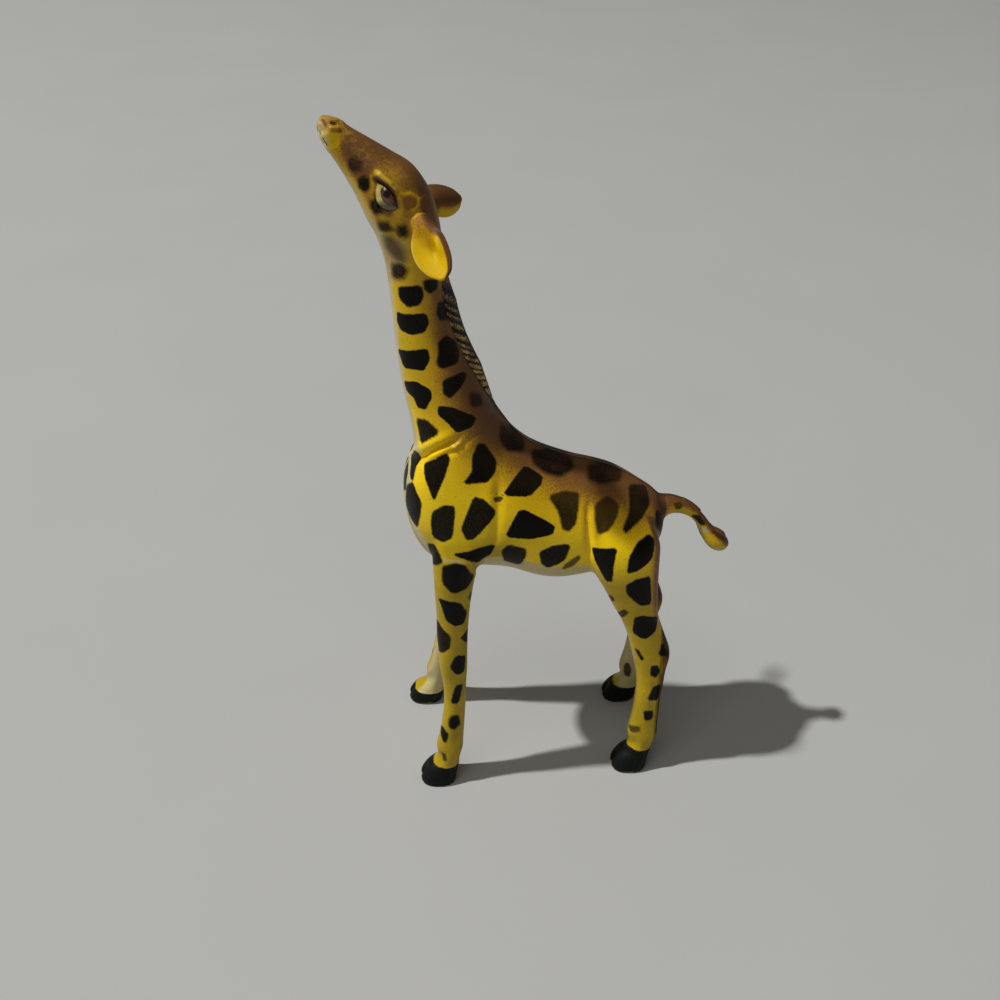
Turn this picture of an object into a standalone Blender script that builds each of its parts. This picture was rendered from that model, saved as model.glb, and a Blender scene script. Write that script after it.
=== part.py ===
"""Standing toy giraffe of soft moulded plastic, in nine mouldings that plug together and are glued.

The animal faces -Y and stands on Z = 0, with +Z up and its left side towards +X. Every piece is laid
out from the front of the chest, where Y is zero. One empty then carries them all, so that the origin
comes under the middle of the figure's length.
"""

import math

import bmesh
import bpy
from mathutils import Matrix, Vector

MM = 0.001

# Trunk
TRUNK_LENGTH = 52.2 * MM  # from the front of the chest to the rump
TRUNK_DEPTH = 28.0 * MM  # from the belly up to the back over it
TRUNK_WIDTH = 24.0 * MM  # across the shoulders
BELLY_HEIGHT = 46.8 * MM  # ground to belly, which the legs and the tail follow

# Neck, from the seam at its base up to the poll
NECK_BASE_INSET = 2.3 * MM  # how far the throat's foot lies behind the front of the chest
NECK_BASE_RISE = 1.4 * MM  # how far it lies above the back's height
NECK_LENGTH = 44.4 * MM
NECK_DEPTH = 15.6 * MM  # from throat to nape, level, at the base
NECK_WIDTH = 17.2 * MM

# Head, from the poll to the tip of the nose, which points up and forward
POLL_SETBACK = 0.6 * MM  # how far the poll lies behind the throat's foot
HEAD_REACH = 14.1 * MM
HEAD_RISE = 19.4 * MM
HEAD_WIDTH = 10.8 * MM
EYE_LENGTH = 5.2 * MM
EYE_WIDTH = 3.6 * MM
EYE_BULGE = 0.9 * MM
NOSTRIL_RADIUS = 0.45 * MM
NOSTRIL_DEPTH = 0.8 * MM

# Mane, a moulded ridge with ribs across it
MANE_WIDTH = 2.2 * MM
MANE_HEIGHT = 1.5 * MM
MANE_ROOT_DEPTH = 1.2 * MM  # how far the ridge runs into the neck
RIB_PITCH = 1.4 * MM

# Front legs
SHOULDER_RISE = 21.2 * MM  # top of the shoulder above the belly
FRONT_LEG_SETBACK = 10.9 * MM  # shoulder behind the front of the chest
FRONT_LEG_SWEEP = 6.1 * MM  # foot ahead of the shoulder
FRONT_LEG_DEPTH = 11.2 * MM  # front to back at the elbow
FRONT_LEG_WIDTH = 8.4 * MM
SHOULDER_SPACING = 17.2 * MM  # between the two shoulders' middles
FRONT_TRACK = 26.2 * MM  # between the two hooves' middles
FRONT_SEAM_RISE = 10.2 * MM  # seam above the belly
RIGHT_FRONT_STEP = 2.8 * MM  # how much further ahead the right foot stands

# Hind legs
HAUNCH_RISE = 18.7 * MM  # top of the thigh above the belly
HIND_LEG_INSET = 10.3 * MM  # hip ahead of the rump
HIND_LEG_SWEEP = 8.6 * MM  # hock behind the hip
HIND_LEG_DEPTH = 16.4 * MM
HIND_LEG_WIDTH = 9.6 * MM
HIP_SPACING = 13.2 * MM
HIND_TRACK = 22.6 * MM
HIND_SEAM_RISE = 3.7 * MM
RIGHT_HIP_BACK = 1.8 * MM  # how much further back the right hip lies
RIGHT_HIND_STEP = 0.8 * MM  # how much further back the right foot stands

# Hooves
HOOF_LENGTH = 7.6 * MM
HOOF_WIDTH = 6.6 * MM
HOOF_HEIGHT = 5.0 * MM
CLEFT_WIDTH = 0.7 * MM
CLEFT_DEPTH = 0.9 * MM

# Ears, one moulding each, the left one drooping and the right one laid back
EAR_LENGTH = 9.6 * MM
EAR_WIDTH = 6.4 * MM
EAR_THICKNESS = 1.1 * MM
EAR_CUP = 1.1 * MM  # how far the rim stands over the middle
EAR_ROOT_RADIUS = 1.8 * MM
EAR_ROOT_LENGTH = 1.2 * MM  # from the seam out to the middle of the blade's foot
EAR_STANDOFF = 0.5 * MM  # how far the seam stands out beyond the side of the head
EAR_BELOW_CROWN = 16.5 * MM  # seam under the top of the head
EAR_SETBACK = 2.8 * MM  # seam behind the poll
EAR_BOSS_LENGTH = 3.2 * MM  # the stub on the head that the ear is plugged to

# Tail
TAIL_REACH = 14.2 * MM  # from the rump to the tip, level
TAIL_DROP = 9.4 * MM
TAIL_THICKNESS = 4.3 * MM
TAIL_SEAM_INSET = 0.4 * MM  # seam ahead of the rump's end

# Plugs, their sockets and the space round every glued face
FIT_GAP = 0.3 * MM
SOCKET_END_GAP = 0.5 * MM
NECK_PLUG_RADIUS = 3.6 * MM
NECK_PLUG_LENGTH = 7.0 * MM
LEG_PLUG_RADIUS = 1.8 * MM
LEG_PLUG_LENGTH = 4.5 * MM
EAR_PLUG_RADIUS = 0.9 * MM
EAR_PLUG_LENGTH = 2.4 * MM
TAIL_PLUG_RADIUS = 1.1 * MM
TAIL_PLUG_LENGTH = 4.0 * MM
OVERRUN = 0.5 * MM  # how far a solid runs past the face that it is joined or cut through
MERGE_DISTANCE = 0.001 * MM  # points of a cut that lie closer than this are one point

# Facets
BODY_SIDES = 26
LEG_SIDES = 16
TAIL_SIDES = 12
PLUG_SIDES = 16
MANE_SIDES = 10
EAR_COLUMNS = 8

# Roundness of a section: 2 is an ellipse, more is squarer
BODY_POWER = 2.15
HOOF_POWER = 2.5

FRONT_SEAM_TILT = math.radians(40)
HIND_SEAM_TILT = math.radians(30)

# The trunk's rings from the rump to the withers: the back's point and the belly's point, each along
# the trunk's length and over the belly by its depth, then half the width by the width.
TRUNK_SHARES = (
    (0.998, 0.489, 0.994, 0.346, 0.083),
    (0.987, 0.571, 0.983, 0.275, 0.175),
    (0.956, 0.650, 0.952, 0.204, 0.258),
    (0.908, 0.721, 0.898, 0.132, 0.325),
    (0.851, 0.793, 0.831, 0.086, 0.367),
    (0.787, 0.857, 0.755, 0.054, 0.392),
    (0.716, 0.904, 0.669, 0.021, 0.412),
    (0.649, 0.939, 0.573, 0.000, 0.430),
    (0.588, 0.979, 0.467, 0.021, 0.450),
    (0.531, 1.021, 0.362, 0.093, 0.475),
    (0.481, 1.071, 0.257, 0.150, 0.495),
    (0.439, 1.136, 0.151, 0.186, 0.495),
)

# The rings that fan out from the withers to the foot of the neck: the back's point behind and above
# the throat's foot, both by the neck's depth, then the chest's point and half the width as before.
WITHERS_SHARES = (
    (1.204, 0.282, 0.071, 0.264, 0.480),
    (1.128, 0.397, 0.023, 0.418, 0.455),
    (1.077, 0.474, 0.000, 0.632, 0.428),
    (1.044, 0.526, 0.002, 0.846, 0.400),
    (1.020, 0.563, 0.025, 0.979, 0.379),
)

# How far the nape's end of the seam lies above the throat's foot, by the neck's depth
NECK_SEAM_RISE_SHARE = 0.603

# The neck's rings from its base to the poll: the nape's point and the throat's point, each behind
# the throat's foot by the neck's depth and above the seam by its length, then half the width by the
# width. The seam's slant fades out up the neck.
NECK_SHARES = (
    (1.000, 0.000, 0.000, 0.000, 0.500),
    (0.923, 0.076, 0.000, 0.086, 0.471),
    (0.814, 0.175, -0.038, 0.187, 0.430),
    (0.686, 0.293, -0.090, 0.300, 0.390),
    (0.583, 0.404, -0.128, 0.412, 0.349),
    (0.494, 0.518, -0.154, 0.525, 0.314),
    (0.436, 0.642, -0.173, 0.649, 0.285),
    (0.417, 0.763, -0.199, 0.772, 0.273),
    (0.423, 0.890, -0.237, 0.885, 0.273),
    (0.404, 1.013, -0.321, 0.986, 0.285),
)

# The head's rings from the poll to the nose: the crown's point and the jaw's point, each ahead of
# the poll by the head's reach and above it by its rise, then half the width by the width.
HEAD_SHARES = (
    (-0.340, 0.263, 0.496, 0.124, 0.481),
    (-0.234, 0.433, 0.574, 0.268, 0.500),
    (-0.085, 0.577, 0.631, 0.371, 0.491),
    (0.135, 0.686, 0.716, 0.495, 0.417),
    (0.397, 0.809, 0.816, 0.629, 0.333),
    (0.610, 0.907, 0.901, 0.732, 0.278),
    (0.723, 0.969, 0.957, 0.814, 0.259),
    (0.823, 0.997, 0.993, 0.897, 0.213),
    (0.894, 0.992, 0.988, 0.942, 0.120),
)

# A leg's rings from inside the body to the fetlock: height by the leg's height, offset from the
# hip or shoulder by the sweep, half the depth by the depth and half the width by the width.
FRONT_LEG_SHARES = (
    (1.000, -0.160, 0.300, 0.200),
    (0.950, -0.120, 0.420, 0.330),
    (0.900, -0.060, 0.490, 0.420),
    (0.847, 0.016, 0.500, 0.490),
    (0.790, 0.213, 0.393, 0.455),
    (0.704, 0.295, 0.330, 0.405),
    (0.634, 0.328, 0.298, 0.375),
    (0.556, 0.361, 0.281, 0.357),
    (0.465, 0.344, 0.250, 0.327),
    (0.378, 0.328, 0.215, 0.280),
    (0.303, 0.344, 0.205, 0.262),
    (0.237, 0.410, 0.215, 0.268),
    (0.176, 0.492, 0.232, 0.286),
    (0.129, 0.607, 0.259, 0.310),
)
HIND_LEG_SHARES = (
    (1.000, -0.030, 0.250, 0.120),
    (0.960, -0.010, 0.380, 0.250),
    (0.920, 0.020, 0.455, 0.370),
    (0.870, 0.070, 0.495, 0.480),
    (0.810, 0.186, 0.439, 0.490),
    (0.731, 0.360, 0.351, 0.427),
    (0.647, 0.529, 0.274, 0.375),
    (0.603, 0.640, 0.241, 0.344),
    (0.550, 0.785, 0.235, 0.323),
    (0.475, 0.948, 0.241, 0.307),
    (0.406, 0.988, 0.198, 0.271),
    (0.343, 1.000, 0.177, 0.250),
    (0.280, 0.965, 0.171, 0.245),
    (0.217, 0.936, 0.180, 0.250),
    (0.138, 0.866, 0.198, 0.281),
)
# Where the foot stands by the sweep
FRONT_FOOT_SHARE = 1.0
HIND_FOOT_SHARE = 0.57

# A hoof's rings: height by the hoof's height, how far back of the foot's middle by its length, then
# half the length and half the width by these.
HOOF_SHARES = (
    (1.00, 0.150, 0.425, 0.430),
    (0.60, 0.045, 0.480, 0.485),
    (0.26, 0.000, 0.500, 0.500),
    (0.00, 0.005, 0.467, 0.470),
)

# The tail's root above the belly by the trunk's depth
TAIL_ROOT_SHARE = 0.514

# The tail's rings: behind the rump by the reach, below the root by the drop, half the thickness by
# the thickness. The first ones lie inside the rump.
TAIL_SHARES = (
    (-0.20, 0.04, 0.640),
    (-0.05, 0.00, 0.600),
    (0.080, -0.05, 0.500),
    (0.260, 0.020, 0.390),
    (0.420, 0.170, 0.300),
    (0.555, 0.400, 0.275),
    (0.660, 0.680, 0.360),
    (0.775, 0.870, 0.500),
    (0.870, 0.990, 0.500),
    (0.950, 1.010, 0.370),
    (1.000, 1.000, 0.150),
)

# An ear's half width by its width, at even steps from root to tip
EAR_OUTLINE_SHARES = (0.24, 0.33, 0.42, 0.48, 0.50, 0.48, 0.42, 0.30, 0.10)

# Unit directions: how the left ear's root leaves the head, where each ear points, and where its
# hollow faces
EAR_ROOT_AXIS = Vector((0.96, 0.28, 0.0)).normalized()
LEFT_EAR_AXIS = Vector((0.57, 0.20, -0.79)).normalized()
LEFT_EAR_FACING = Vector((0.80, -0.30, 0.50)).normalized()
RIGHT_EAR_AXIS = Vector((-0.70, 0.66, -0.25)).normalized()
RIGHT_EAR_FACING = Vector((-0.50, -0.60, -0.62)).normalized()

# Where the eye's middle lies on the head, ahead of and above the poll, and which way it slants
EYE_PLACE_SHARES = (0.215, 0.415)
EYE_AXIS = Vector((0.0, -0.52, 0.85)).normalized()
NOSTRIL_PLACE_SHARES = (0.80, 0.965)
NOSTRIL_OUT_SHARE = 0.13
NOSTRIL_AXIS = Vector((0.55, -0.10, 0.83)).normalized()

# The mane's upper end by the neck's length, and the ridge's height between two ribs by its full height
MANE_TOP_SHARE = 0.93
MANE_RIB_FLOOR_SHARE = 0.55

COAT_YELLOW = (0.62, 0.44, 0.02, 1.0)
OVERSPRAY_BROWN = (0.17, 0.07, 0.035, 1.0)
HOOF_BLACK = (0.012, 0.016, 0.012, 1.0)

X_AXIS = Vector((1, 0, 0))
Y_AXIS = Vector((0, 1, 0))
Z_AXIS = Vector((0, 0, 1))


def clear_scene():
    for old in list(bpy.data.objects):
        bpy.data.objects.remove(old, do_unlink=True)


def material(name, colour, roughness):
    made = bpy.data.materials.new(name)
    made.use_nodes = True
    shader = made.node_tree.nodes["Principled BSDF"]
    shader.inputs["Base Color"].default_value = colour
    shader.inputs["Roughness"].default_value = roughness
    shader.inputs["Metallic"].default_value = 0.0
    return made


def mesh_object(name, bm):
    """A scene object of a closed bmesh, in flat triangles with their faces turned outwards."""
    bmesh.ops.triangulate(bm, faces=bm.faces)
    bmesh.ops.recalc_face_normals(bm, faces=bm.faces)
    mesh = bpy.data.meshes.new(name)
    bm.to_mesh(mesh)
    bm.free()
    made = bpy.data.objects.new(name, mesh)
    bpy.context.scene.collection.objects.link(made)
    return made


def loft(name, rings):
    """A closed solid through rings of equally many points, capped at both ends."""
    bm = bmesh.new()
    loops = [[bm.verts.new(point) for point in ring] for ring in rings]
    for lower, upper in zip(loops, loops[1:]):
        for k in range(len(lower)):
            after = (k + 1) % len(lower)
            bm.faces.new((lower[k], lower[after], upper[after], upper[k]))
    bm.faces.new(loops[0])
    bm.faces.new(loops[-1])
    return mesh_object(name, bm)


def rounded(angle, power):
    """Cosine and sine of an angle, drawn out to a superellipse of the given power."""
    c = math.cos(angle)
    s = math.sin(angle)
    return (
        math.copysign(abs(c) ** (2 / power), c),
        math.copysign(abs(s) ** (2 / power), s),
    )


def section(centre, side, up, sides, power):
    """Points round a superellipse spanned by two half axes."""
    ring = []
    for k in range(sides):
        c, s = rounded(2 * math.pi * k / sides, power)
        ring.append(centre + side * s + up * c)
    return ring


def smoothed(stations, steps):
    """A Catmull-Rom curve through tuples of numbers, with steps spans between each two."""
    ends = [stations[0], *stations, stations[-1]]
    dense = []
    for before, a, b, after in zip(ends, ends[1:], ends[2:], ends[3:]):
        for k in range(steps):
            t = k / steps
            dense.append(
                tuple(
                    0.5
                    * (
                        2 * q
                        + (r - p) * t
                        + (2 * p - 5 * q + 4 * r - s) * t**2
                        + (3 * q - p - 3 * r + s) * t**3
                    )
                    for p, q, r, s in zip(before, a, b, after)
                )
            )
    dense.append(stations[-1])
    return dense


def combine(body, other, operation):
    """Applies a Boolean of another object to a body, then removes the other."""
    step = body.modifiers.new(operation.lower(), "BOOLEAN")
    step.operation = operation
    step.solver = "EXACT"
    step.object = other
    bpy.context.view_layer.update()
    graph = bpy.context.evaluated_depsgraph_get()
    mesh = bpy.data.meshes.new_from_object(body.evaluated_get(graph))
    bm = bmesh.new()
    bm.from_mesh(mesh)
    bmesh.ops.remove_doubles(bm, verts=bm.verts, dist=MERGE_DISTANCE)
    bmesh.ops.dissolve_degenerate(bm, edges=bm.edges, dist=MERGE_DISTANCE)
    bmesh.ops.triangulate(bm, faces=bm.faces)
    bm.to_mesh(mesh)
    bm.free()
    body.modifiers.clear()
    body.data = mesh
    bpy.data.objects.remove(other, do_unlink=True)
    return body


def half_space(point, normal, reach):
    """A box that fills the space behind a plane, on the side that its normal points away from."""
    bm = bmesh.new()
    bmesh.ops.create_cube(bm, size=2 * reach)
    made = mesh_object("half_space", bm)
    turn = Z_AXIS.rotation_difference(normal).to_matrix().to_4x4()
    move = Matrix.Translation(point) @ turn @ Matrix.Translation(-Z_AXIS * reach)
    made.data.transform(move)
    return made


def rod(start, end, radius, sides=PLUG_SIDES):
    """A round rod between two points."""
    axis = (end - start).normalized()
    side = axis.orthogonal().normalized() * radius
    up = axis.cross(side)
    return loft("rod", [section(at, side, up, sides, 2.0) for at in (start, end)])


def plug(body, point, into, radius, length):
    """Adds a plug that stands out of a body's face at a point, pointing into its partner."""
    return combine(body, rod(point - into * (OVERRUN + radius), point + into * length, radius), "UNION")


def socket(body, point, into, radius, length):
    """Cuts the hole that takes a plug, with its clearances."""
    end = point + into * (length + SOCKET_END_GAP)
    return combine(body, rod(point - into * (OVERRUN + FIT_GAP), end, radius + FIT_GAP), "DIFFERENCE")


def trunk_station(row):
    back, back_rise, belly, belly_rise, half = row
    return (
        back * TRUNK_LENGTH,
        BELLY_HEIGHT + back_rise * TRUNK_DEPTH,
        belly * TRUNK_LENGTH,
        BELLY_HEIGHT + belly_rise * TRUNK_DEPTH,
        half * TRUNK_WIDTH,
    )


def neck_foot():
    """The throat's foot, where the neck's front meets the seam."""
    return Vector((0, NECK_BASE_INSET, BELLY_HEIGHT + TRUNK_DEPTH + NECK_BASE_RISE))


def withers_station(row):
    back, back_rise, chest, chest_rise, half = row
    foot = neck_foot()
    return (
        foot.y + back * NECK_DEPTH,
        foot.z + back_rise * NECK_DEPTH,
        chest * TRUNK_LENGTH,
        BELLY_HEIGHT + chest_rise * TRUNK_DEPTH,
        half * TRUNK_WIDTH,
    )


def neck_station(row):
    nape, nape_rise, throat, throat_rise, half = row
    foot = neck_foot()
    slant = NECK_SEAM_RISE_SHARE * NECK_DEPTH * (1 - throat_rise)
    return (
        foot.y + nape * NECK_DEPTH,
        foot.z + slant + nape_rise * NECK_LENGTH,
        foot.y + throat * NECK_DEPTH,
        foot.z + throat_rise * NECK_LENGTH,
        half * NECK_WIDTH,
    )


def poll():
    return neck_foot() + Y_AXIS * POLL_SETBACK + Z_AXIS * NECK_LENGTH


def head_point(ahead_share, rise_share):
    at = poll()
    return at - Y_AXIS * (ahead_share * HEAD_REACH) + Z_AXIS * (rise_share * HEAD_RISE)


def head_station(row):
    crown = head_point(row[0], row[1])
    jaw = head_point(row[2], row[3])
    return (crown.y, crown.z, jaw.y, jaw.z, row[4] * HEAD_WIDTH)


def body_stations():
    """The whole line of the body from the rump to the nose, and where the neck and head begin."""
    trunk = [trunk_station(row) for row in TRUNK_SHARES]
    trunk += [withers_station(row) for row in WITHERS_SHARES]
    neck = [neck_station(row) for row in NECK_SHARES]
    head = [head_station(row) for row in HEAD_SHARES]
    return trunk + neck + head, len(trunk)


def body_ring(station):
    top_y, top_z, low_y, low_z, half = station
    top = Vector((0, top_y, top_z))
    low = Vector((0, low_y, low_z))
    return section((top + low) / 2, X_AXIS * half, (top - low) / 2, BODY_SIDES, BODY_POWER)


def neck_seam():
    """The seam's middle and its normal, which points up the neck."""
    base = neck_station(NECK_SHARES[0])
    nape = Vector((0, base[0], base[1]))
    throat = Vector((0, base[2], base[3]))
    return (nape + throat) / 2, X_AXIS.cross(nape - throat).normalized()


def figure_reach():
    """Larger than the figure, for boxes that cut right through it."""
    return TRUNK_LENGTH + TRUNK_WIDTH + NECK_LENGTH


class Leg:
    """One leg's line and sizes. side is 1 on the left and -1 on the right."""

    def __init__(self, front, side):
        self.side = side
        if front:
            self.rows = FRONT_LEG_SHARES
            self.height = BELLY_HEIGHT + SHOULDER_RISE
            self.hip_y = FRONT_LEG_SETBACK
            self.sweep = -FRONT_LEG_SWEEP
            self.depth = FRONT_LEG_DEPTH
            self.width = FRONT_LEG_WIDTH
            self.hip_x = SHOULDER_SPACING / 2
            self.foot_x = FRONT_TRACK / 2
            self.foot = FRONT_FOOT_SHARE
            self.seam_z = BELLY_HEIGHT + FRONT_SEAM_RISE
            self.tilt = FRONT_SEAM_TILT
            self.hip_back = 0
            self.foot_back = -RIGHT_FRONT_STEP if side < 0 else 0
        else:
            self.rows = HIND_LEG_SHARES
            self.height = BELLY_HEIGHT + HAUNCH_RISE
            self.hip_y = TRUNK_LENGTH - HIND_LEG_INSET
            self.sweep = HIND_LEG_SWEEP
            self.depth = HIND_LEG_DEPTH
            self.width = HIND_LEG_WIDTH
            self.hip_x = HIP_SPACING / 2
            self.foot_x = HIND_TRACK / 2
            self.foot = HIND_FOOT_SHARE
            self.seam_z = BELLY_HEIGHT + HIND_SEAM_RISE
            self.tilt = HIND_SEAM_TILT
            self.hip_back = RIGHT_HIP_BACK if side < 0 else 0
            self.foot_back = RIGHT_HIND_STEP if side < 0 else 0

    def middle(self, z, sweep_share):
        """The leg's middle at a height."""
        down = 1 - z / self.height
        x = self.hip_x + (self.foot_x - self.hip_x) * down
        back = self.hip_back + (self.foot_back - self.hip_back) * down**2
        return Vector((self.side * x, self.hip_y + self.sweep * sweep_share + back, z))

    def rings(self, grown):
        """Level rings down the leg, with the half sizes grown by a clearance."""
        made = []
        for height, sweep, half_depth, half_width in smoothed(self.rows, 2):
            centre = self.middle(height * self.height, sweep)
            side = X_AXIS * (half_width * self.width + grown)
            up = Y_AXIS * (half_depth * self.depth + grown)
            made.append(section(centre, side, up, LEG_SIDES, BODY_POWER))
        for height, back, half_length, half_width in HOOF_SHARES:
            centre = self.middle(height * HOOF_HEIGHT, self.foot) + Y_AXIS * (back * HOOF_LENGTH)
            side = X_AXIS * (half_width * HOOF_WIDTH + grown)
            up = Y_AXIS * (half_length * HOOF_LENGTH + grown)
            made.append(section(centre, side, up, LEG_SIDES, HOOF_POWER))
        return made

    def seam(self):
        """The seam's middle and its normal, which points up into the body."""
        share = self.seam_z / self.height
        for upper, lower in zip(self.rows, self.rows[1:]):
            if lower[0] <= share <= upper[0]:
                part = (upper[0] - share) / (upper[0] - lower[0])
                sweep = upper[1] + (lower[1] - upper[1]) * part
                break
        else:
            sweep = self.rows[0][1]
        normal = Vector((-self.side * math.sin(self.tilt), 0, math.cos(self.tilt)))
        return self.middle(self.seam_z, sweep), normal

    def foot_middle(self):
        return self.middle(0, self.foot)

    def stump(self):
        """The part of the leg that is moulded with the trunk, a little longer than to the seam."""
        point, normal = self.seam()
        end = point - normal * OVERRUN
        return combine(loft("stump", self.rings(0)), half_space(end, normal, figure_reach()), "DIFFERENCE")

    def room(self):
        """What the trunk leaves free for the leg under the seam."""
        point, normal = self.seam()
        grown = loft("room", self.rings(FIT_GAP))
        return combine(grown, half_space(point, -normal, figure_reach()), "DIFFERENCE")

    def piece(self, name):
        """The leg as it is moulded, from its plug down to the sole."""
        point, normal = self.seam()
        leg = loft(name, self.rings(0))
        face = point - normal * FIT_GAP
        combine(leg, half_space(face, -normal, figure_reach()), "DIFFERENCE")
        combine(leg, self.cleft(), "DIFFERENCE")
        return plug(leg, face, normal, LEG_PLUG_RADIUS, LEG_PLUG_LENGTH)

    def cleft(self):
        """A wedge that parts the two toes at the front of the hoof."""
        toe = self.foot_middle() - Y_AXIS * (HOOF_LENGTH / 2)
        rings = []
        for z in (-OVERRUN, HOOF_HEIGHT * HOOF_SHARES[1][0]):
            at = Vector((toe.x, toe.y, z))
            rings.append(
                [
                    at + Y_AXIS * CLEFT_DEPTH,
                    at - Y_AXIS * OVERRUN + X_AXIS * CLEFT_WIDTH,
                    at - Y_AXIS * OVERRUN - X_AXIS * CLEFT_WIDTH,
                ]
            )
        return loft("cleft", rings)


class Ear:
    """One ear's place and pose. side is 1 on the left and -1 on the right."""

    def __init__(self, side, axis, facing):
        self.axis = axis
        self.facing = (facing - axis * facing.dot(axis)).normalized()
        self.across = self.facing.cross(axis)
        self.root = Vector((side * EAR_ROOT_AXIS.x, EAR_ROOT_AXIS.y, EAR_ROOT_AXIS.z))
        head_side = max(HEAD_WIDTH * HEAD_SHARES[0][4], NECK_WIDTH * NECK_SHARES[-1][4])
        out = side * (head_side + EAR_STANDOFF)
        crown = poll().z + HEAD_RISE
        self.seam = Vector((out, poll().y + EAR_SETBACK, crown - EAR_BELOW_CROWN))

    def blade_row(self, bm, i, layer):
        """One row of points across the blade, on its outer or its inner sheet."""
        along_share = i / (len(EAR_OUTLINE_SHARES) - 1)
        half = EAR_OUTLINE_SHARES[i] * EAR_WIDTH
        at = self.seam + self.root * EAR_ROOT_LENGTH + self.axis * (along_share * EAR_LENGTH)
        row = []
        for j in range(EAR_COLUMNS + 1):
            across_share = 2 * j / EAR_COLUMNS - 1
            thick = EAR_THICKNESS / 2 * (1 - across_share**2 / 2)
            cup = EAR_CUP * across_share**2 * math.sin(math.pi * along_share)
            point = at + self.across * (across_share * half) + self.facing * (cup + layer * thick)
            row.append(bm.verts.new(point))
        return row

    def blade(self):
        """The cupped blade, as an outer and an inner sheet joined at the rim."""
        bm = bmesh.new()
        under, over = (
            [self.blade_row(bm, i, layer) for i in range(len(EAR_OUTLINE_SHARES))] for layer in (-1, 1)
        )
        for sheet in (under, over):
            for low, high in zip(sheet, sheet[1:]):
                for j in range(EAR_COLUMNS):
                    bm.faces.new((low[j], low[j + 1], high[j + 1], high[j]))
        rims = []
        for sheet in (under, over):
            left = [row[0] for row in sheet]
            right = [row[-1] for row in reversed(sheet)]
            rims.append(left + sheet[-1][1:-1] + right + sheet[0][-2:0:-1])
        for k in range(len(rims[0])):
            after = (k + 1) % len(rims[0])
            bm.faces.new((rims[0][k], rims[0][after], rims[1][after], rims[1][k]))
        return mesh_object("blade", bm)

    def piece(self, name):
        face = self.seam + self.root * FIT_GAP
        ear = rod(face, self.seam + self.root * EAR_ROOT_LENGTH, EAR_ROOT_RADIUS)
        ear.name = name
        blade = self.blade()
        combine(blade, half_space(face, self.root, figure_reach()), "DIFFERENCE")
        combine(ear, blade, "UNION")
        return plug(ear, face, -self.root, EAR_PLUG_RADIUS, EAR_PLUG_LENGTH)

    def boss(self):
        return rod(self.seam - self.root * EAR_BOSS_LENGTH, self.seam, EAR_ROOT_RADIUS)


def tail_root_height():
    return BELLY_HEIGHT + TAIL_ROOT_SHARE * TRUNK_DEPTH


def tail_ring(station):
    back, drop, half = station
    centre = Vector((0, TRUNK_LENGTH + back * TAIL_REACH, tail_root_height() - drop * TAIL_DROP))
    return centre, half * TAIL_THICKNESS


def tail_loft(name):
    """The tail's whole line, each ring square to it."""
    stations = [tail_ring(row) for row in smoothed(TAIL_SHARES, 2)]
    rings = []
    for k, (centre, radius) in enumerate(stations):
        before = stations[max(k - 1, 0)][0]
        after = stations[min(k + 1, len(stations) - 1)][0]
        line = (after - before).normalized()
        up = X_AXIS.cross(line)
        rings.append(section(centre, X_AXIS * radius, up * radius, TAIL_SIDES, 2.0))
    return loft(name, rings)


def tail_seam():
    return Vector((0, TRUNK_LENGTH - TAIL_SEAM_INSET, tail_root_height())), Y_AXIS


def nape_line():
    """The nape from the top of the mane to below the seam, as points with their outward normals."""
    rows = [neck_station(row) for row in NECK_SHARES]
    below = [withers_station(row) for row in WITHERS_SHARES[-3:]]
    stations = smoothed([*below, *rows], 6)
    top = neck_foot().z + NECK_LENGTH * MANE_TOP_SHARE
    line = []
    for station in stations:
        nape = Vector((0, station[0], station[1]))
        throat = Vector((0, station[2], station[3]))
        if nape.z <= top:
            line.append((nape, (nape - throat).normalized()))
    return line


def along(line, distance):
    """The point and normal at a distance along a line of (point, normal)."""
    for (a, na), (b, nb) in zip(line, line[1:]):
        span = (b - a).length
        if distance <= span and span > 0:
            part = distance / span
            return a.lerp(b, part), na.lerp(nb, part).normalized()
        distance -= span
    return line[-1]


def mane():
    """A ridge down the nape whose height steps up and down at each rib."""
    line = nape_line()
    length = sum((b[0] - a[0]).length for a, b in zip(line, line[1:]))
    ribs = max(2, round(length / RIB_PITCH))
    rings = []
    for k in range(2 * ribs + 1):
        point, out = along(line, length * k / (2 * ribs))
        stand = MANE_HEIGHT * (1 if k % 2 else MANE_RIB_FLOOR_SHARE)
        end = min(1, (2 * ribs - k) / 4)
        stand *= end
        half = (stand + MANE_ROOT_DEPTH) / 2
        centre = point + out * (stand - half)
        rings.append(section(centre, X_AXIS * (MANE_WIDTH / 2), out * half, MANE_SIDES, 2.0))
    return loft("mane", rings)


def eye(side):
    """A flattened ball that stands out of the cheek."""
    at = head_point(*EYE_PLACE_SHARES)
    out = X_AXIS * side
    surface = HEAD_WIDTH * HEAD_SHARES[1][4]
    centre = at + out * (surface - EYE_WIDTH / 2 + EYE_BULGE / 2)
    bm = bmesh.new()
    bmesh.ops.create_uvsphere(bm, u_segments=16, v_segments=10, radius=1)
    size = Matrix.Diagonal((EYE_WIDTH / 2, EYE_WIDTH / 2, EYE_LENGTH / 2, 1))
    turn = Z_AXIS.rotation_difference(EYE_AXIS).to_matrix().to_4x4()
    bmesh.ops.transform(bm, matrix=Matrix.Translation(centre) @ turn @ size, verts=bm.verts)
    return mesh_object("eye", bm)


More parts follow.
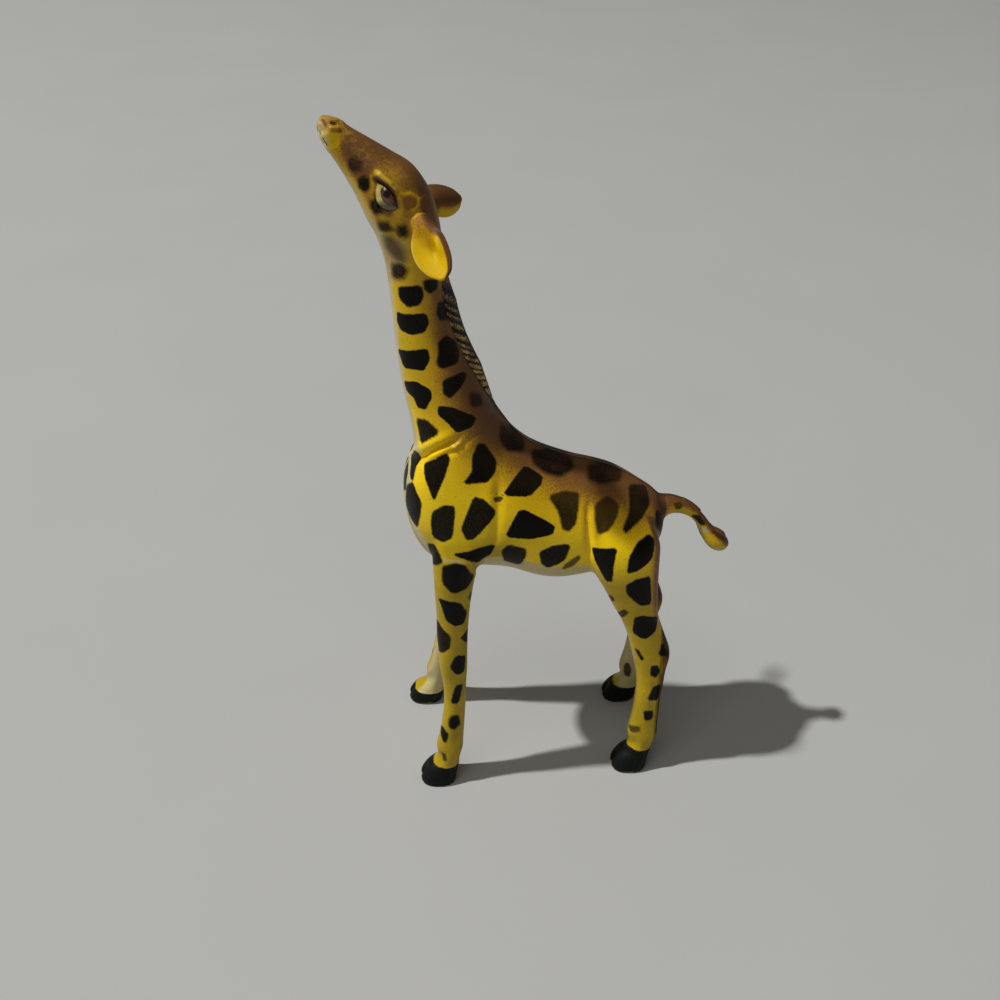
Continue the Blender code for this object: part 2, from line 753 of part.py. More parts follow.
def nostril(side):
    at = head_point(*NOSTRIL_PLACE_SHARES) + X_AXIS * (side * NOSTRIL_OUT_SHARE * HEAD_WIDTH)
    axis = Vector((side * NOSTRIL_AXIS.x, NOSTRIL_AXIS.y, NOSTRIL_AXIS.z))
    return rod(at - axis * (NOSTRIL_DEPTH / 2), at + axis * (NOSTRIL_DEPTH / 2 + OVERRUN), NOSTRIL_RADIUS)


def build_torso(legs, stations, trunk_count):
    """Barrel, chest, shoulders and haunches, with a socket for each piece that plugs in."""
    torso = loft("torso", [body_ring(s) for s in stations[: trunk_count + 2]])
    point, normal = neck_seam()
    combine(torso, half_space(point, -normal, figure_reach()), "DIFFERENCE")
    for leg in legs:
        combine(torso, leg.stump(), "UNION")
    for leg in legs:
        combine(torso, leg.room(), "DIFFERENCE")
    tail_point, tail_normal = tail_seam()
    combine(torso, tail_loft("tail_stub"), "UNION")
    combine(torso, half_space(tail_point, -tail_normal, figure_reach()), "DIFFERENCE")
    socket(torso, point, -normal, NECK_PLUG_RADIUS, NECK_PLUG_LENGTH)
    for leg in legs:
        seam_point, seam_normal = leg.seam()
        socket(torso, seam_point, seam_normal, LEG_PLUG_RADIUS, LEG_PLUG_LENGTH)
    socket(torso, tail_point, -tail_normal, TAIL_PLUG_RADIUS, TAIL_PLUG_LENGTH)
    return torso


def build_head_and_neck(ears, stations, trunk_count):
    """Neck, ribbed mane and head in one moulding, with a plug below and a socket for each ear."""
    neck = loft("head_and_neck", [body_ring(s) for s in stations[trunk_count - 2 :]])
    for side in (1, -1):
        combine(neck, eye(side), "UNION")
        combine(neck, nostril(side), "DIFFERENCE")
    combine(neck, mane(), "UNION")
    for ear in ears:
        combine(neck, ear.boss(), "UNION")
        socket(neck, ear.seam, -ear.root, EAR_PLUG_RADIUS, EAR_PLUG_LENGTH)
    point, normal = neck_seam()
    face = point + normal * FIT_GAP
    combine(neck, half_space(face, normal, figure_reach()), "DIFFERENCE")
    return plug(neck, face, -normal, NECK_PLUG_RADIUS, NECK_PLUG_LENGTH)


def build_tail():
    tail = tail_loft("tail")
    point, normal = tail_seam()
    face = point + normal * FIT_GAP
    combine(tail, half_space(face, normal, figure_reach()), "DIFFERENCE")
    return plug(tail, face, -normal, TAIL_PLUG_RADIUS, TAIL_PLUG_LENGTH)


def finish(piece, carrier, materials):
    """Gives a piece its materials, smooth shading and its parent."""
    piece.data.materials.clear()
    for one in materials:
        piece.data.materials.append(one)
    hooves = len(materials) > 1
    for face in piece.data.polygons:
        face.material_index = 1 if hooves and face.center.z < HOOF_HEIGHT else 0
    piece.data.shade_smooth()
    piece.data.set_sharp_from_angle(angle=math.radians(50))
    piece.parent = carrier


def main():
    clear_scene()
    carrier = bpy.data.objects.new("giraffe", None)
    bpy.context.scene.collection.objects.link(carrier)
    nose_ahead = HEAD_REACH - NECK_BASE_INSET - POLL_SETBACK
    carrier.location.y = (nose_ahead - TRUNK_LENGTH - TAIL_REACH) / 2

    stations, trunk_count = body_stations()
    legs = {
        "left_front_leg": Leg(True, 1),
        "right_front_leg": Leg(True, -1),
        "left_hind_leg": Leg(False, 1),
        "right_hind_leg": Leg(False, -1),
    }
    ears = {
        "left_ear": Ear(1, LEFT_EAR_AXIS, LEFT_EAR_FACING),
        "right_ear": Ear(-1, RIGHT_EAR_AXIS, RIGHT_EAR_FACING),
    }

    torso_coat = material("torso_coat", COAT_YELLOW, 0.4)
    neck_coat = material("neck_coat", COAT_YELLOW, 0.4)
    leg_coat = material("leg_coat", COAT_YELLOW, 0.4)
    hoof_paint = material("hoof_paint", HOOF_BLACK, 0.5)
    ear_coat = material("ear_coat", COAT_YELLOW, 0.4)
    tail_coat = material("tail_coat", OVERSPRAY_BROWN, 0.5)

    finish(build_torso(legs.values(), stations, trunk_count), carrier, [torso_coat])
    finish(build_head_and_neck(ears.values(), stations, trunk_count), carrier, [neck_coat])
    for name, leg in legs.items():
        finish(leg.piece(name), carrier, [leg_coat, hoof_paint])
    for name, ear in ears.items():
        finish(ear.piece(name), carrier, [ear_coat])
    finish(build_tail(), carrier, [tail_coat])


main()
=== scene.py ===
"""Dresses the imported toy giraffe: each moulding's full form and its sprayed and masked paint.

The whole skin is built once from lofts, joined, smoothed and carved, and is then cut at the glued
seams into the same pieces as the frame has. Sizes repeat those of the part, in metres.
"""

import math

import bpy
import numpy as np
from mathutils import Matrix
from mathutils.bvhtree import BVHTree


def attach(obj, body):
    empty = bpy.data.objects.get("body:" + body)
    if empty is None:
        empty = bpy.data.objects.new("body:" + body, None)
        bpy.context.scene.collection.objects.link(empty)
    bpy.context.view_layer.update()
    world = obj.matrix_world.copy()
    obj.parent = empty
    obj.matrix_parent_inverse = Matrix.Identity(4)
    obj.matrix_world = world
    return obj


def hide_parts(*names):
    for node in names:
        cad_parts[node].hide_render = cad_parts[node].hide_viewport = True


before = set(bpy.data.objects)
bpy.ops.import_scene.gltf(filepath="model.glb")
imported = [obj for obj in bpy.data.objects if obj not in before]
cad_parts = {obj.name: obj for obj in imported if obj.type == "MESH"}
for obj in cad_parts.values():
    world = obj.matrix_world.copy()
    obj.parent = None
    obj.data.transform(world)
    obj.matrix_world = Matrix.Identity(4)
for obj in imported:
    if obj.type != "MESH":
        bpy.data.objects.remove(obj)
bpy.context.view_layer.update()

MM = 0.001

# Trunk
TRUNK_LENGTH = 52.2 * MM
TRUNK_DEPTH = 28.0 * MM
TRUNK_WIDTH = 24.0 * MM
BELLY_HEIGHT = 46.8 * MM

# Neck and head
NECK_BASE_INSET = 2.3 * MM
NECK_BASE_RISE = 1.4 * MM
NECK_LENGTH = 44.4 * MM
NECK_DEPTH = 15.6 * MM
NECK_WIDTH = 17.2 * MM
POLL_SETBACK = 0.6 * MM
HEAD_REACH = 14.1 * MM
HEAD_RISE = 19.4 * MM
HEAD_WIDTH = 10.8 * MM

# Mane
MANE_HEIGHT = 1.5 * MM
MANE_ROOT_DEPTH = 1.2 * MM
RIB_PITCH = 1.4 * MM

# Legs
SHOULDER_RISE = 21.2 * MM
FRONT_LEG_SETBACK = 10.9 * MM
FRONT_LEG_SWEEP = 6.1 * MM
FRONT_LEG_DEPTH = 11.2 * MM
FRONT_LEG_WIDTH = 8.4 * MM
SHOULDER_SPACING = 17.2 * MM
FRONT_TRACK = 26.2 * MM
FRONT_SEAM_RISE = 10.2 * MM
RIGHT_FRONT_STEP = 2.8 * MM
HAUNCH_RISE = 18.7 * MM
HIND_LEG_INSET = 10.3 * MM
HIND_LEG_SWEEP = 8.6 * MM
HIND_LEG_DEPTH = 16.4 * MM
HIND_LEG_WIDTH = 9.6 * MM
HIP_SPACING = 13.2 * MM
HIND_TRACK = 22.6 * MM
HIND_SEAM_RISE = 3.7 * MM
RIGHT_HIP_BACK = 1.8 * MM
RIGHT_HIND_STEP = 0.8 * MM
HOOF_LENGTH = 7.6 * MM
HOOF_WIDTH = 6.6 * MM
HOOF_HEIGHT = 5.0 * MM
CLEFT_WIDTH = 0.45 * MM
CLEFT_DEPTH = 1.1 * MM

# Ears
EAR_LENGTH = 9.6 * MM
EAR_WIDTH = 6.4 * MM
EAR_THICKNESS = 1.1 * MM
EAR_CUP = 1.1 * MM
EAR_ROOT_RADIUS = 1.8 * MM
EAR_ROOT_LENGTH = 1.2 * MM
EAR_STANDOFF = 0.5 * MM
EAR_BELOW_CROWN = 16.5 * MM
EAR_SETBACK = 2.8 * MM
EAR_BOSS_LENGTH = 3.2 * MM

# Tail
TAIL_REACH = 14.2 * MM
TAIL_DROP = 9.4 * MM
TAIL_THICKNESS = 4.3 * MM
TAIL_SEAM_INSET = 0.4 * MM

FRONT_SEAM_TILT = math.radians(40)
HIND_SEAM_TILT = math.radians(30)
NECK_SEAM_RISE_SHARE = 0.603
TAIL_ROOT_SHARE = 0.514
FRONT_FOOT_SHARE = 1.0
HIND_FOOT_SHARE = 0.57

# The camera of the photograph, and the photograph's own frame
CAMERA_PLACE = np.array((0.20019, -0.01910, 0.19632))
CAMERA_PITCH = math.radians(33.5)
CAMERA_TURN = math.radians(3.0)
FOCAL_PIXELS = 1200.0
PHOTO_PIXELS = 1000.0
SENSOR_WIDTH = 36.0

# The skin is laid out from the front of the chest, and the world's origin lies behind it by this
CARRIER_SHIFT = np.array(
    (0.0, (HEAD_REACH - NECK_BASE_INSET - POLL_SETBACK - TRUNK_LENGTH - TAIL_REACH) / 2, 0.0)
)

# The skin's mesh
SKIN_VOXEL = 0.26 * MM
BODY_SIDES = 64
LEG_SIDES = 40
TAIL_SIDES = 32
BODY_POWER = 2.15
HOOF_POWER = 2.5
LEG_STEPS = 4
HOOF_STEPS = 3
TAIL_STEPS = 4
ROUND_POWER = 2.0
BOSS_RINGS = 6
BOSS_SIDES = 24
SHARP_ANGLE = math.radians(60)

# How the skin is smoothed: all of it, then where its parts meet, then the finer head
SKIN_SMOOTHING = 0.5
SKIN_ROUNDS = 4
JOIN_SMOOTHING = 0.6
JOIN_ROUNDS = 40
JOIN_WIDTH = 1.6 * MM
JOIN_FADE_FROM = BELLY_HEIGHT - 4 * MM
JOIN_FADE_TO = BELLY_HEIGHT + 2 * MM
EAR_JOIN_WIDTH = JOIN_WIDTH * 1.6
TAIL_JOIN_WIDTH = JOIN_WIDTH * 2.5
HEAD_FINE_FROM = 2.0 * MM
HEAD_ROUNDS = 3

# Each row: the back's point and the belly's point along the length and over the belly, half the
# width, then how much narrower the section is at the back than at the belly.
TRUNK_SHARES = (
    (0.998, 0.489, 0.994, 0.346, 0.083, 0.00),
    (0.987, 0.571, 0.983, 0.275, 0.175, 0.00),
    (0.956, 0.650, 0.952, 0.204, 0.258, 0.02),
    (0.908, 0.721, 0.898, 0.132, 0.325, 0.04),
    (0.851, 0.793, 0.831, 0.086, 0.367, 0.08),
    (0.787, 0.857, 0.755, 0.054, 0.392, 0.11),
    (0.716, 0.904, 0.669, 0.021, 0.412, 0.14),
    (0.649, 0.939, 0.573, 0.000, 0.430, 0.16),
    (0.588, 0.979, 0.467, 0.021, 0.450, 0.17),
    (0.531, 1.021, 0.362, 0.093, 0.475, 0.18),
    (0.481, 1.071, 0.257, 0.150, 0.495, 0.18),
    (0.439, 1.136, 0.151, 0.186, 0.495, 0.18),
)
WITHERS_SHARES = (
    (1.204, 0.282, 0.071, 0.264, 0.480, 0.17),
    (1.128, 0.397, 0.023, 0.418, 0.455, 0.15),
    (1.077, 0.474, 0.000, 0.632, 0.428, 0.12),
    (1.044, 0.526, 0.002, 0.846, 0.400, 0.09),
    (1.020, 0.563, 0.025, 0.979, 0.379, 0.07),
)
NECK_SHARES = (
    (1.000, 0.000, 0.000, 0.000, 0.500, 0.06),
    (0.923, 0.076, 0.000, 0.086, 0.471, 0.06),
    (0.814, 0.175, -0.038, 0.187, 0.430, 0.06),
    (0.686, 0.293, -0.090, 0.300, 0.390, 0.06),
    (0.583, 0.404, -0.128, 0.412, 0.349, 0.06),
    (0.494, 0.518, -0.154, 0.525, 0.314, 0.05),
    (0.436, 0.642, -0.173, 0.649, 0.285, 0.04),
    (0.417, 0.763, -0.199, 0.772, 0.273, 0.02),
    (0.423, 0.890, -0.237, 0.885, 0.273, 0.00),
    (0.404, 1.013, -0.321, 0.986, 0.285, -0.02),
)
HEAD_SHARES = (
    (-0.340, 0.263, 0.496, 0.124, 0.481, -0.05),
    (-0.234, 0.433, 0.574, 0.268, 0.500, -0.08),
    (-0.085, 0.577, 0.631, 0.371, 0.491, -0.10),
    (0.135, 0.686, 0.716, 0.495, 0.417, -0.06),
    (0.397, 0.809, 0.816, 0.629, 0.333, 0.02),
    (0.610, 0.907, 0.901, 0.732, 0.278, 0.06),
    (0.723, 0.969, 0.957, 0.814, 0.259, 0.06),
    (0.823, 0.998, 0.996, 0.897, 0.222, 0.03),
    (0.945, 1.010, 1.006, 0.940, 0.185, 0.00),
)

# Height by the leg's height, offset by the sweep, half the depth and half the width
FRONT_LEG_SHARES = (
    (1.000, -0.160, 0.300, 0.200),
    (0.950, -0.120, 0.420, 0.330),
    (0.900, -0.060, 0.490, 0.420),
    (0.847, 0.016, 0.500, 0.490),
    (0.790, 0.213, 0.393, 0.455),
    (0.704, 0.295, 0.330, 0.405),
    (0.634, 0.328, 0.298, 0.375),
    (0.556, 0.361, 0.281, 0.357),
    (0.465, 0.344, 0.250, 0.327),
    (0.378, 0.328, 0.215, 0.280),
    (0.303, 0.344, 0.205, 0.262),
    (0.237, 0.410, 0.215, 0.268),
    (0.176, 0.492, 0.232, 0.286),
    (0.129, 0.607, 0.259, 0.310),
)
HIND_LEG_SHARES = (
    (1.000, -0.030, 0.250, 0.120),
    (0.960, -0.010, 0.380, 0.250),
    (0.920, 0.020, 0.455, 0.370),
    (0.870, 0.070, 0.495, 0.480),
    (0.810, 0.186, 0.439, 0.490),
    (0.731, 0.360, 0.351, 0.427),
    (0.647, 0.529, 0.274, 0.375),
    (0.603, 0.640, 0.241, 0.344),
    (0.550, 0.785, 0.235, 0.323),
    (0.475, 0.948, 0.241, 0.307),
    (0.406, 0.988, 0.198, 0.271),
    (0.343, 1.000, 0.177, 0.250),
    (0.280, 0.965, 0.171, 0.245),
    (0.217, 0.936, 0.180, 0.250),
    (0.138, 0.866, 0.198, 0.281),
)
HOOF_SHARES = (
    (1.00, 0.215, 0.385, 0.415),
    (0.60, 0.085, 0.455, 0.475),
    (0.26, 0.008, 0.495, 0.500),
    (0.00, 0.005, 0.467, 0.470),
)
TAIL_SHARES = (
    (-0.20, 0.04, 0.640),
    (-0.05, 0.00, 0.600),
    (0.080, -0.05, 0.500),
    (0.260, 0.020, 0.390),
    (0.420, 0.170, 0.300),
    (0.555, 0.400, 0.275),
    (0.660, 0.680, 0.360),
    (0.775, 0.870, 0.500),
    (0.870, 0.990, 0.500),
    (0.950, 1.010, 0.370),
    (1.000, 1.000, 0.150),
)
EAR_OUTLINE_SHARES = (0.28, 0.36, 0.43, 0.48, 0.50, 0.50, 0.475, 0.41, 0.30, 0.08)

EAR_ROOT_AXIS = np.array((0.96, 0.28, 0.0))
LEFT_EAR_AXIS = np.array((0.57, 0.20, -0.79))
LEFT_EAR_FACING = np.array((0.80, -0.30, 0.50))
RIGHT_EAR_AXIS = np.array((-0.70, 0.66, -0.25))
RIGHT_EAR_FACING = np.array((-0.50, -0.60, -0.62))

# Painted patches on the side that the camera sees, as outlines in the photograph's pixels. Each
# has the softness of its edge in millimetres and how solid its paint is.
NECK_PATCHES = (
    (1.0, 0.8, ((392, 265), (401, 263.5), (407, 270), (403, 278.5), (393, 277))),
    (0.35, 1.0, ((399, 287), (420.5, 286), (423, 296.5), (419, 304), (408, 306.5), (400, 298))),
    (0.5, 0.95, ((424, 280.5), (437, 280), (437, 287), (430.5, 293), (425, 289))),
    (0.25, 1.0, (
        (397.6, 312.6), (405, 315), (425, 314), (428, 322.5),
        (424, 331.7), (411, 334), (400.6, 328.7), (397.6, 321),
    )),
    (0.2, 1.0, (
        (398.3, 349.3), (409.8, 351.6), (426.6, 349.3), (429, 358.5),
        (423.6, 370), (414.4, 368.5), (404.4, 367),
    )),
    (0.2, 1.0, (
        (404.4, 381.5), (416, 382), (429.7, 390), (431, 397.5),
        (425, 409), (418, 406.7), (414.4, 397.5), (406.7, 390),
    )),
    (0.5, 0.85, ((416.7, 419), (426.6, 420.5), (439, 432.8), (420.5, 443.5))),
    (0.5, 0.9, ((439, 302.7), (445, 302.7), (448, 318), (440.4, 319.5), (437.3, 312))),
    (0.4, 1.0, (
        (439, 342.5), (446.5, 336.3), (455.7, 342.5), (458.8, 353),
        (457, 362.4), (442, 367.7), (437.3, 363.9), (439.6, 353),
    )),
    (0.3, 1.0, (
        (443.5, 380.7), (461.8, 373), (466.4, 374.6), (460.3, 386.8), (449.6, 397.6), (444.2, 393),
    )),
    (0.2, 1.0, (
        (438.9, 406.7), (452.7, 408.3), (475.6, 417.5), (471, 426.6),
        (457, 432), (448, 422), (438.9, 414.4),
    )),
    (0.9, 0.85, ((470, 394), (480, 395), (482, 404), (472, 406))),
)
BODY_PATCHES = (
    (0.3, 0.9, (
        (425, 463.8), (433.4, 461), (446, 454), (449.3, 458.7), (444.8, 474),
        (438.5, 489.3), (434, 499.5), (429.5, 488), (425, 474),
    )),
    (0.35, 1.0, (
        (478, 444.6), (484.4, 444.6), (495.9, 461), (494.6, 471.4),
        (487, 481.6), (464, 483.5), (473, 471.4), (473, 457.4),
    )),
    (0.25, 0.95, (
        (525.2, 466.3), (541.8, 476.5), (540.5, 484), (529, 495.7), (503.5, 495), (516.3, 476.5),
    )),
    (0.3, 0.85, (
        (433.4, 512), (444.8, 505.9), (453.8, 507), (453.8, 517.3),
        (451.2, 537.8), (442.3, 541.6), (433.4, 536.5), (431.5, 522.4),
    )),
    (0.3, 0.85, (
        (474.2, 497.6), (484.4, 500.8), (495.9, 512.2), (484.4, 527.6),
        (472.9, 539), (466.5, 539), (462, 528.8), (466.5, 517.3),
    )),
    (0.2, 1.0, (
        (520, 511), (525.2, 511), (554.5, 526.3), (552, 533.9),
        (531.6, 538.4), (506, 536.5), (515, 518.6),
    )),
    (0.25, 0.95, (
        (453.8, 554.3), (469, 552.4), (494.6, 544.8), (489.5, 554.3), (478, 562), (466.5, 558.8),
    )),
    (0.35, 0.8, (
        (502.2, 550.5), (508.6, 545.4), (525.2, 549.2), (525.2, 555.6), (518.8, 564.5), (504.8, 560.7),
    )),
    (0.5, 0.75, (
        (549.4, 496.5), (563.8, 491.7), (578, 493.3), (578, 503),
        (575, 523.6), (568.6, 530.8), (563, 528.4), (559, 511),
    )),
    (0.5, 0.65, (
        (595.7, 504.5), (608.4, 496.5), (618, 504.5), (616.4, 515.7),
        (608.4, 530), (598.9, 534), (595.7, 518.9),
    )),
    (0.5, 0.85, (
        (629, 485.4), (645, 485.4), (649, 504.5), (640.3, 518.9),
        (626, 532.4), (623.6, 528.4), (630.7, 509.3),
    )),
    (0.3, 0.85, (
        (539.9, 552.3), (554.2, 546), (570, 545), (563.8, 560.3), (547.8, 567.5), (542.3, 563.5),
    )),
    (0.4, 0.5, ((578, 556), (580, 558), (572, 566), (563, 569), (566, 564))),
    (0.3, 0.9, ((402, 466), (405, 457.5), (408.5, 458), (408, 472), (406, 490), (402, 488))),
    (0.3, 0.88, ((412, 453.5), (417.5, 451.5), (416.5, 465), (413, 480), (410.5, 478), (411.5, 463))),
    (0.35, 0.9, ((407, 486), (413, 482.5), (421, 502), (420, 514), (417.5, 527), (411, 518), (406, 504))),
    (0.4, 0.85, ((428, 544), (434, 544.5), (439, 554), (442, 561.5), (438, 564), (430, 562))),
    (0.3, 0.6, ((494.5, 498.5), (498, 497.3), (502.5, 497.8), (500, 500.8), (495.5, 501.2))),
    (0.9, 0.95, ((501, 424), (512, 426), (524, 440), (522, 451), (508, 450), (500, 438))),
    (0.9, 1.0, ((532, 450), (550, 449), (571, 458), (573, 468), (560, 476), (545, 472), (533, 462))),
    (0.9, 0.9, ((588, 465), (606, 463), (621, 470), (619, 480), (601, 483), (589, 479))),
    (0.6, 0.9, ((656, 511), (663, 513), (663, 522), (660, 531), (656, 526))),
)
HIND_LEG_PATCHES = (
    (0.25, 0.9, (
        (592.5, 547.5), (603, 549.6), (616.4, 549), (613.2, 563.5),
        (611.6, 581), (606.8, 581), (595.7, 560.3),
    )),
    (0.3, 1.0, (
        (648.3, 534.8), (653.9, 539.6), (651.5, 558.7), (638.7, 569.9),
        (627.6, 573), (630, 557), (638, 543),
    )),
    (0.3, 1.0, (
        (649.9, 576.3), (650.7, 603.4), (640.3, 605), (627.6, 593.8), (626.8, 585.8), (636, 580),
    )),
    (0.3, 0.6, ((603.5, 594), (612, 596), (614, 600), (608, 601))),
    (0.3, 0.6, ((617, 613), (624, 609.5), (628, 612.5), (622, 617))),
    (0.25, 1.0, ((635, 618), (643, 616), (657, 616.5), (655.7, 629.3), (644.5, 638.9), (633.3, 632.5))),
    (0.4, 0.8, ((662, 643.6), (668.4, 654.8), (658.9, 654.8))),
    (0.3, 0.8, ((635.5, 649), (638, 650), (643.5, 659), (641.5, 660))),
    (0.3, 0.95, ((652, 666.5), (657, 666), (659, 671), (656, 677), (651, 675))),
    (0.3, 0.9, ((654, 686.7), (660.4, 685), (657.3, 699.4), (648.5, 699.4))),
    (0.3, 0.9, ((644.5, 711.4), (652.5, 711.4), (651.7, 718.6), (645.3, 720.2))),
    (0.5, 0.5, ((629, 725), (639, 727), (639, 731), (631, 731))),
)
FRONT_LEG_PATCHES = (
    (0.4, 1.0, (
        (443, 566.5), (454.7, 564), (464.7, 565.7), (473.8, 576.5),
        (466.3, 588), (453, 593), (443, 583),
    )),
    (0.25, 1.0, (
        (439, 598), (459.7, 603), (466.3, 613), (463, 623), (454.7, 625.4), (446.4, 619.6), (443, 608),
    )),
    (0.3, 0.8, ((435.5, 621), (438, 621), (449.7, 636), (449, 647.8), (443, 652), (438, 649.4))),
    (0.3, 0.8, ((468, 629), (466.3, 631), (461.4, 637.8), (465.5, 641), (468, 641))),
    (0.3, 0.9, ((456.4, 656), (464.7, 656), (463.8, 671), (457.2, 674.3), (450.6, 667.7))),
    (0.3, 0.9, ((456.4, 686), (462.2, 684.3), (458, 702.5), (451.4, 702.5))),
    (0.5, 0.9, ((449.7, 719), (453, 716), (458, 715.8), (459.7, 724), (454.7, 729), (449.7, 727.4))),
    (0.35, 0.85, ((441, 725.7), (443, 727), (447.8, 734), (445.5, 742.3), (443, 740))),
    (0.4, 0.55, ((442.3, 753), (445.2, 754.5), (446, 760.5), (443.5, 760))),
    (0.4, 0.5, ((470.5, 592), (473, 593), (471, 600), (469, 598))),
)
HEAD_PATCHES = (
    (0.7, 1.0, ((350, 160), (356, 158.5), (361, 163), (360, 169), (354, 171), (350, 167))),
    (0.7, 1.0, ((359, 180), (364, 176.5), (368.5, 180), (369, 188), (364, 191), (359, 187))),
    (0.8, 0.9, ((371, 201), (375, 200), (380, 207), (382, 212.5), (375, 213.5), (371, 208))),
    (1.0, 0.75, ((379, 223), (387, 222.5), (391, 228), (387, 231.5), (380, 230))),
    (1.0, 0.85, ((398, 226.5), (405, 226), (408, 231), (406, 236.5), (399, 236))),
    (1.5, 0.5, ((384, 236), (392, 237), (403, 251), (405, 262), (396, 259), (387, 249))),
    (0.3, 0.0, ((403.7, 199), (409, 197), (415.5, 200), (416, 204), (410, 208.7), (405, 208))),
)
TAIL_PATCHES = (
    (0.35, 0.6, ((674, 504), (680, 503), (682, 507), (677, 509))),
    (0.35, 0.8, ((692, 515), (699, 516), (705, 524), (702, 525), (697, 520))),
    (0.35, 0.6, ((712, 530), (722, 536), (726, 541), (719, 538))),
)
INNER_LEG_PATCHES = (
    (0.4, 0.6, ((624.6, 665), (628, 663), (630.5, 669), (629, 676), (625, 675))),
)

# Where the cream plastic shows, and where pale paint also stands as painted highlight: softness, amount and
# outline
CREAM_AND_HIGHLIGHT_PLACES = (
    (1.6, 0.75, ((366, 214), (384, 232), (407, 240), (408, 258), (400, 279), (386, 282), (381, 256))),
    # the muzzle's tip: pale cream paint, and painted highlight where light falls on it
    (0.8, 0.75, ((315, 119), (324, 116), (332, 118), (329, 126), (331, 134), (322, 130), (317, 126))),
    (0.8, 0.7, (
        (317, 121), (322, 118), (327, 122), (328, 132), (331, 144), (328, 150), (321, 140), (318, 130),
    )),
    (1.2, 0.75, ((412, 520), (419, 527), (430, 544), (437, 552), (428, 557), (418, 546), (411, 532))),
    (0.6, 0.7, ((441, 556.5), (453, 559.5), (466, 561), (467, 564.5), (452, 563), (441, 561.5))),
    # the upper lid's ridge: paler yellow paint and painted highlight along its top
    (0.3, 0.42, (
        (375, 173.5), (377, 171.5), (383, 174.5), (390, 181), (397, 187.5), (395, 189.5), (381, 178.5),
    )),
    (0.5, 0.6, ((408.8, 456), (411.8, 455), (411, 466), (409.5, 482), (407, 484), (408.3, 470))),
)

# Where more brown mist lies, and where gold is worn through it: softness, amount and outline
MIST_PLACES = (
    (1.5, 1.8, (
        (340, 133), (350, 140), (372, 170), (372, 195), (384, 222), (404, 228),
        (409, 236), (382, 233), (366, 205), (351, 174), (341, 150),
    )),
    (1.2, 1.25, ((374, 172), (400, 190), (412, 212), (409, 232), (384, 224), (372, 200))),
    (1.0, 0.35, ((326, 118), (340, 119), (346, 124), (344, 134), (332, 134), (325, 127))),
    (0.8, 1.2, ((418, 186), (428, 192), (437, 232), (432, 232), (426, 220), (421, 206))),
    (1.2, 0.5, ((432, 286), (440, 286), (446, 318), (452, 352), (444, 370), (436, 345), (433, 312))),
    (1.3, 1.3, ((378, 232), (404, 238), (407, 256), (402, 280), (388, 284), (384, 258))),
)
GILT_PLACES = (
    (0.9, 0.7, (
        (376, 166), (390, 164), (404, 171), (415, 184), (414, 194), (403, 196), (394, 186), (384, 177),
    )),
    (0.7, 1.0, ((322, 118), (334, 117.5), (345, 121), (354, 132), (348, 143), (335, 138), (324, 130))),
    (1.4, 0.45, ((345, 128), (375, 148), (402, 166), (395, 178), (366, 168), (348, 150))),
)
# Thin lines of less or more mist, and painted shade along the eyelids: half width in millimetres, amount and
# line
MIST_AND_LID_SHADE_LINES = (
    (0.36, -3.5, ((376.5, 172.4), (380.5, 174.8), (384.3, 178.6), (389.4, 182.8), (394.4, 186.6))),
    (0.24, -1.3, (
        (403.5, 194.4), (411.3, 193.0), (417.4, 196.5), (419, 199.5), (417.4, 204.5), (412.4, 209.5),
    )),
    (0.24, -1.2, ((418.5, 199), (425.6, 195))),
    (0.9, -0.8, ((397, 190), (400, 200), (399, 213))),
    (0.35, -0.8, ((371, 176), (371, 190), (373, 204))),
    (0.45, 0.5, ((379, 226), (390, 229), (404, 231))),
    (0.9, -0.8, ((328, 137), (333, 134), (341, 135), (338, 142), (333, 150))),
    (0.30, 3.2, ((331.6, 123.6), (334.5, 122.8), (338.0, 123.4))),
    (0.40, 1.1, ((331, 131.4), (335, 132.2), (340, 131))),
    (0.25, 1.2, ((322.5, 119.6), (325.5, 125.5))),
    # painted shadow under the upper lid, as a brown band
    (0.38, 2.4, ((375.0, 179.4), (381.5, 183.2), (388, 188), (393.4, 194.4), (396.6, 201.5), (397, 207))),
    # painted shade below the lower lid
    (0.7, 1.4, ((374, 196), (377, 205), (382, 211), (389, 213.5))),
)

# Fine dark lines, among them painted shadow along the eyelids: half width in millimetres, and line
DARK_LINES_AND_LID_SHADOWS = (
    (0.11, ((320.0, 132), (323.3, 138.5), (327.0, 145.4))),
    (0.09, ((318.0, 124), (318.2, 132), (319.2, 138.7), (321.6, 145))),
    (0.16, ((408.5, 514), (411.5, 524), (417.7, 537), (424, 546))),
    # painted shadow where the upper lid overhangs the eye
    (0.19, (
        (376.8, 180.9), (381.2, 183.6), (387.4, 188.4), (392.6, 194.4), (395.9, 200.8), (396.8, 206.5),
    )),
    # painted shadow in the crease under the eye's lower rim
    (0.09, ((375.8, 200), (379.4, 206.6), (384, 210.2), (390, 211.4), (396, 210))),
    (0.12, ((496, 494), (503.5, 495.3))),
)

# The lower edge of the brown overspray, from the nose along the head, the neck and the back
OVERSPRAY_EDGE = (
    (341, 127), (341, 138), (345, 152), (353, 163), (363, 171), (372, 171), (384, 177),
    (396, 187), (405, 194), (418, 201), (425, 214), (430, 228), (431, 296), (434, 320),
    (437, 343), (441, 367), (443, 388), (450, 407), (458, 428), (466, 444), (484, 458),
    (503, 470), (545, 490), (582, 502), (611, 511), (630, 514), (650, 521),
)


def unit(v):
    return v / np.linalg.norm(v)


def lengths(vectors):
    return np.linalg.norm(vectors, axis=1)


def smooth_step(value, low, high):
    t = np.clip((value - low) / (high - low), 0.0, 1.0)
    return t * t * (3.0 - 2.0 * t)


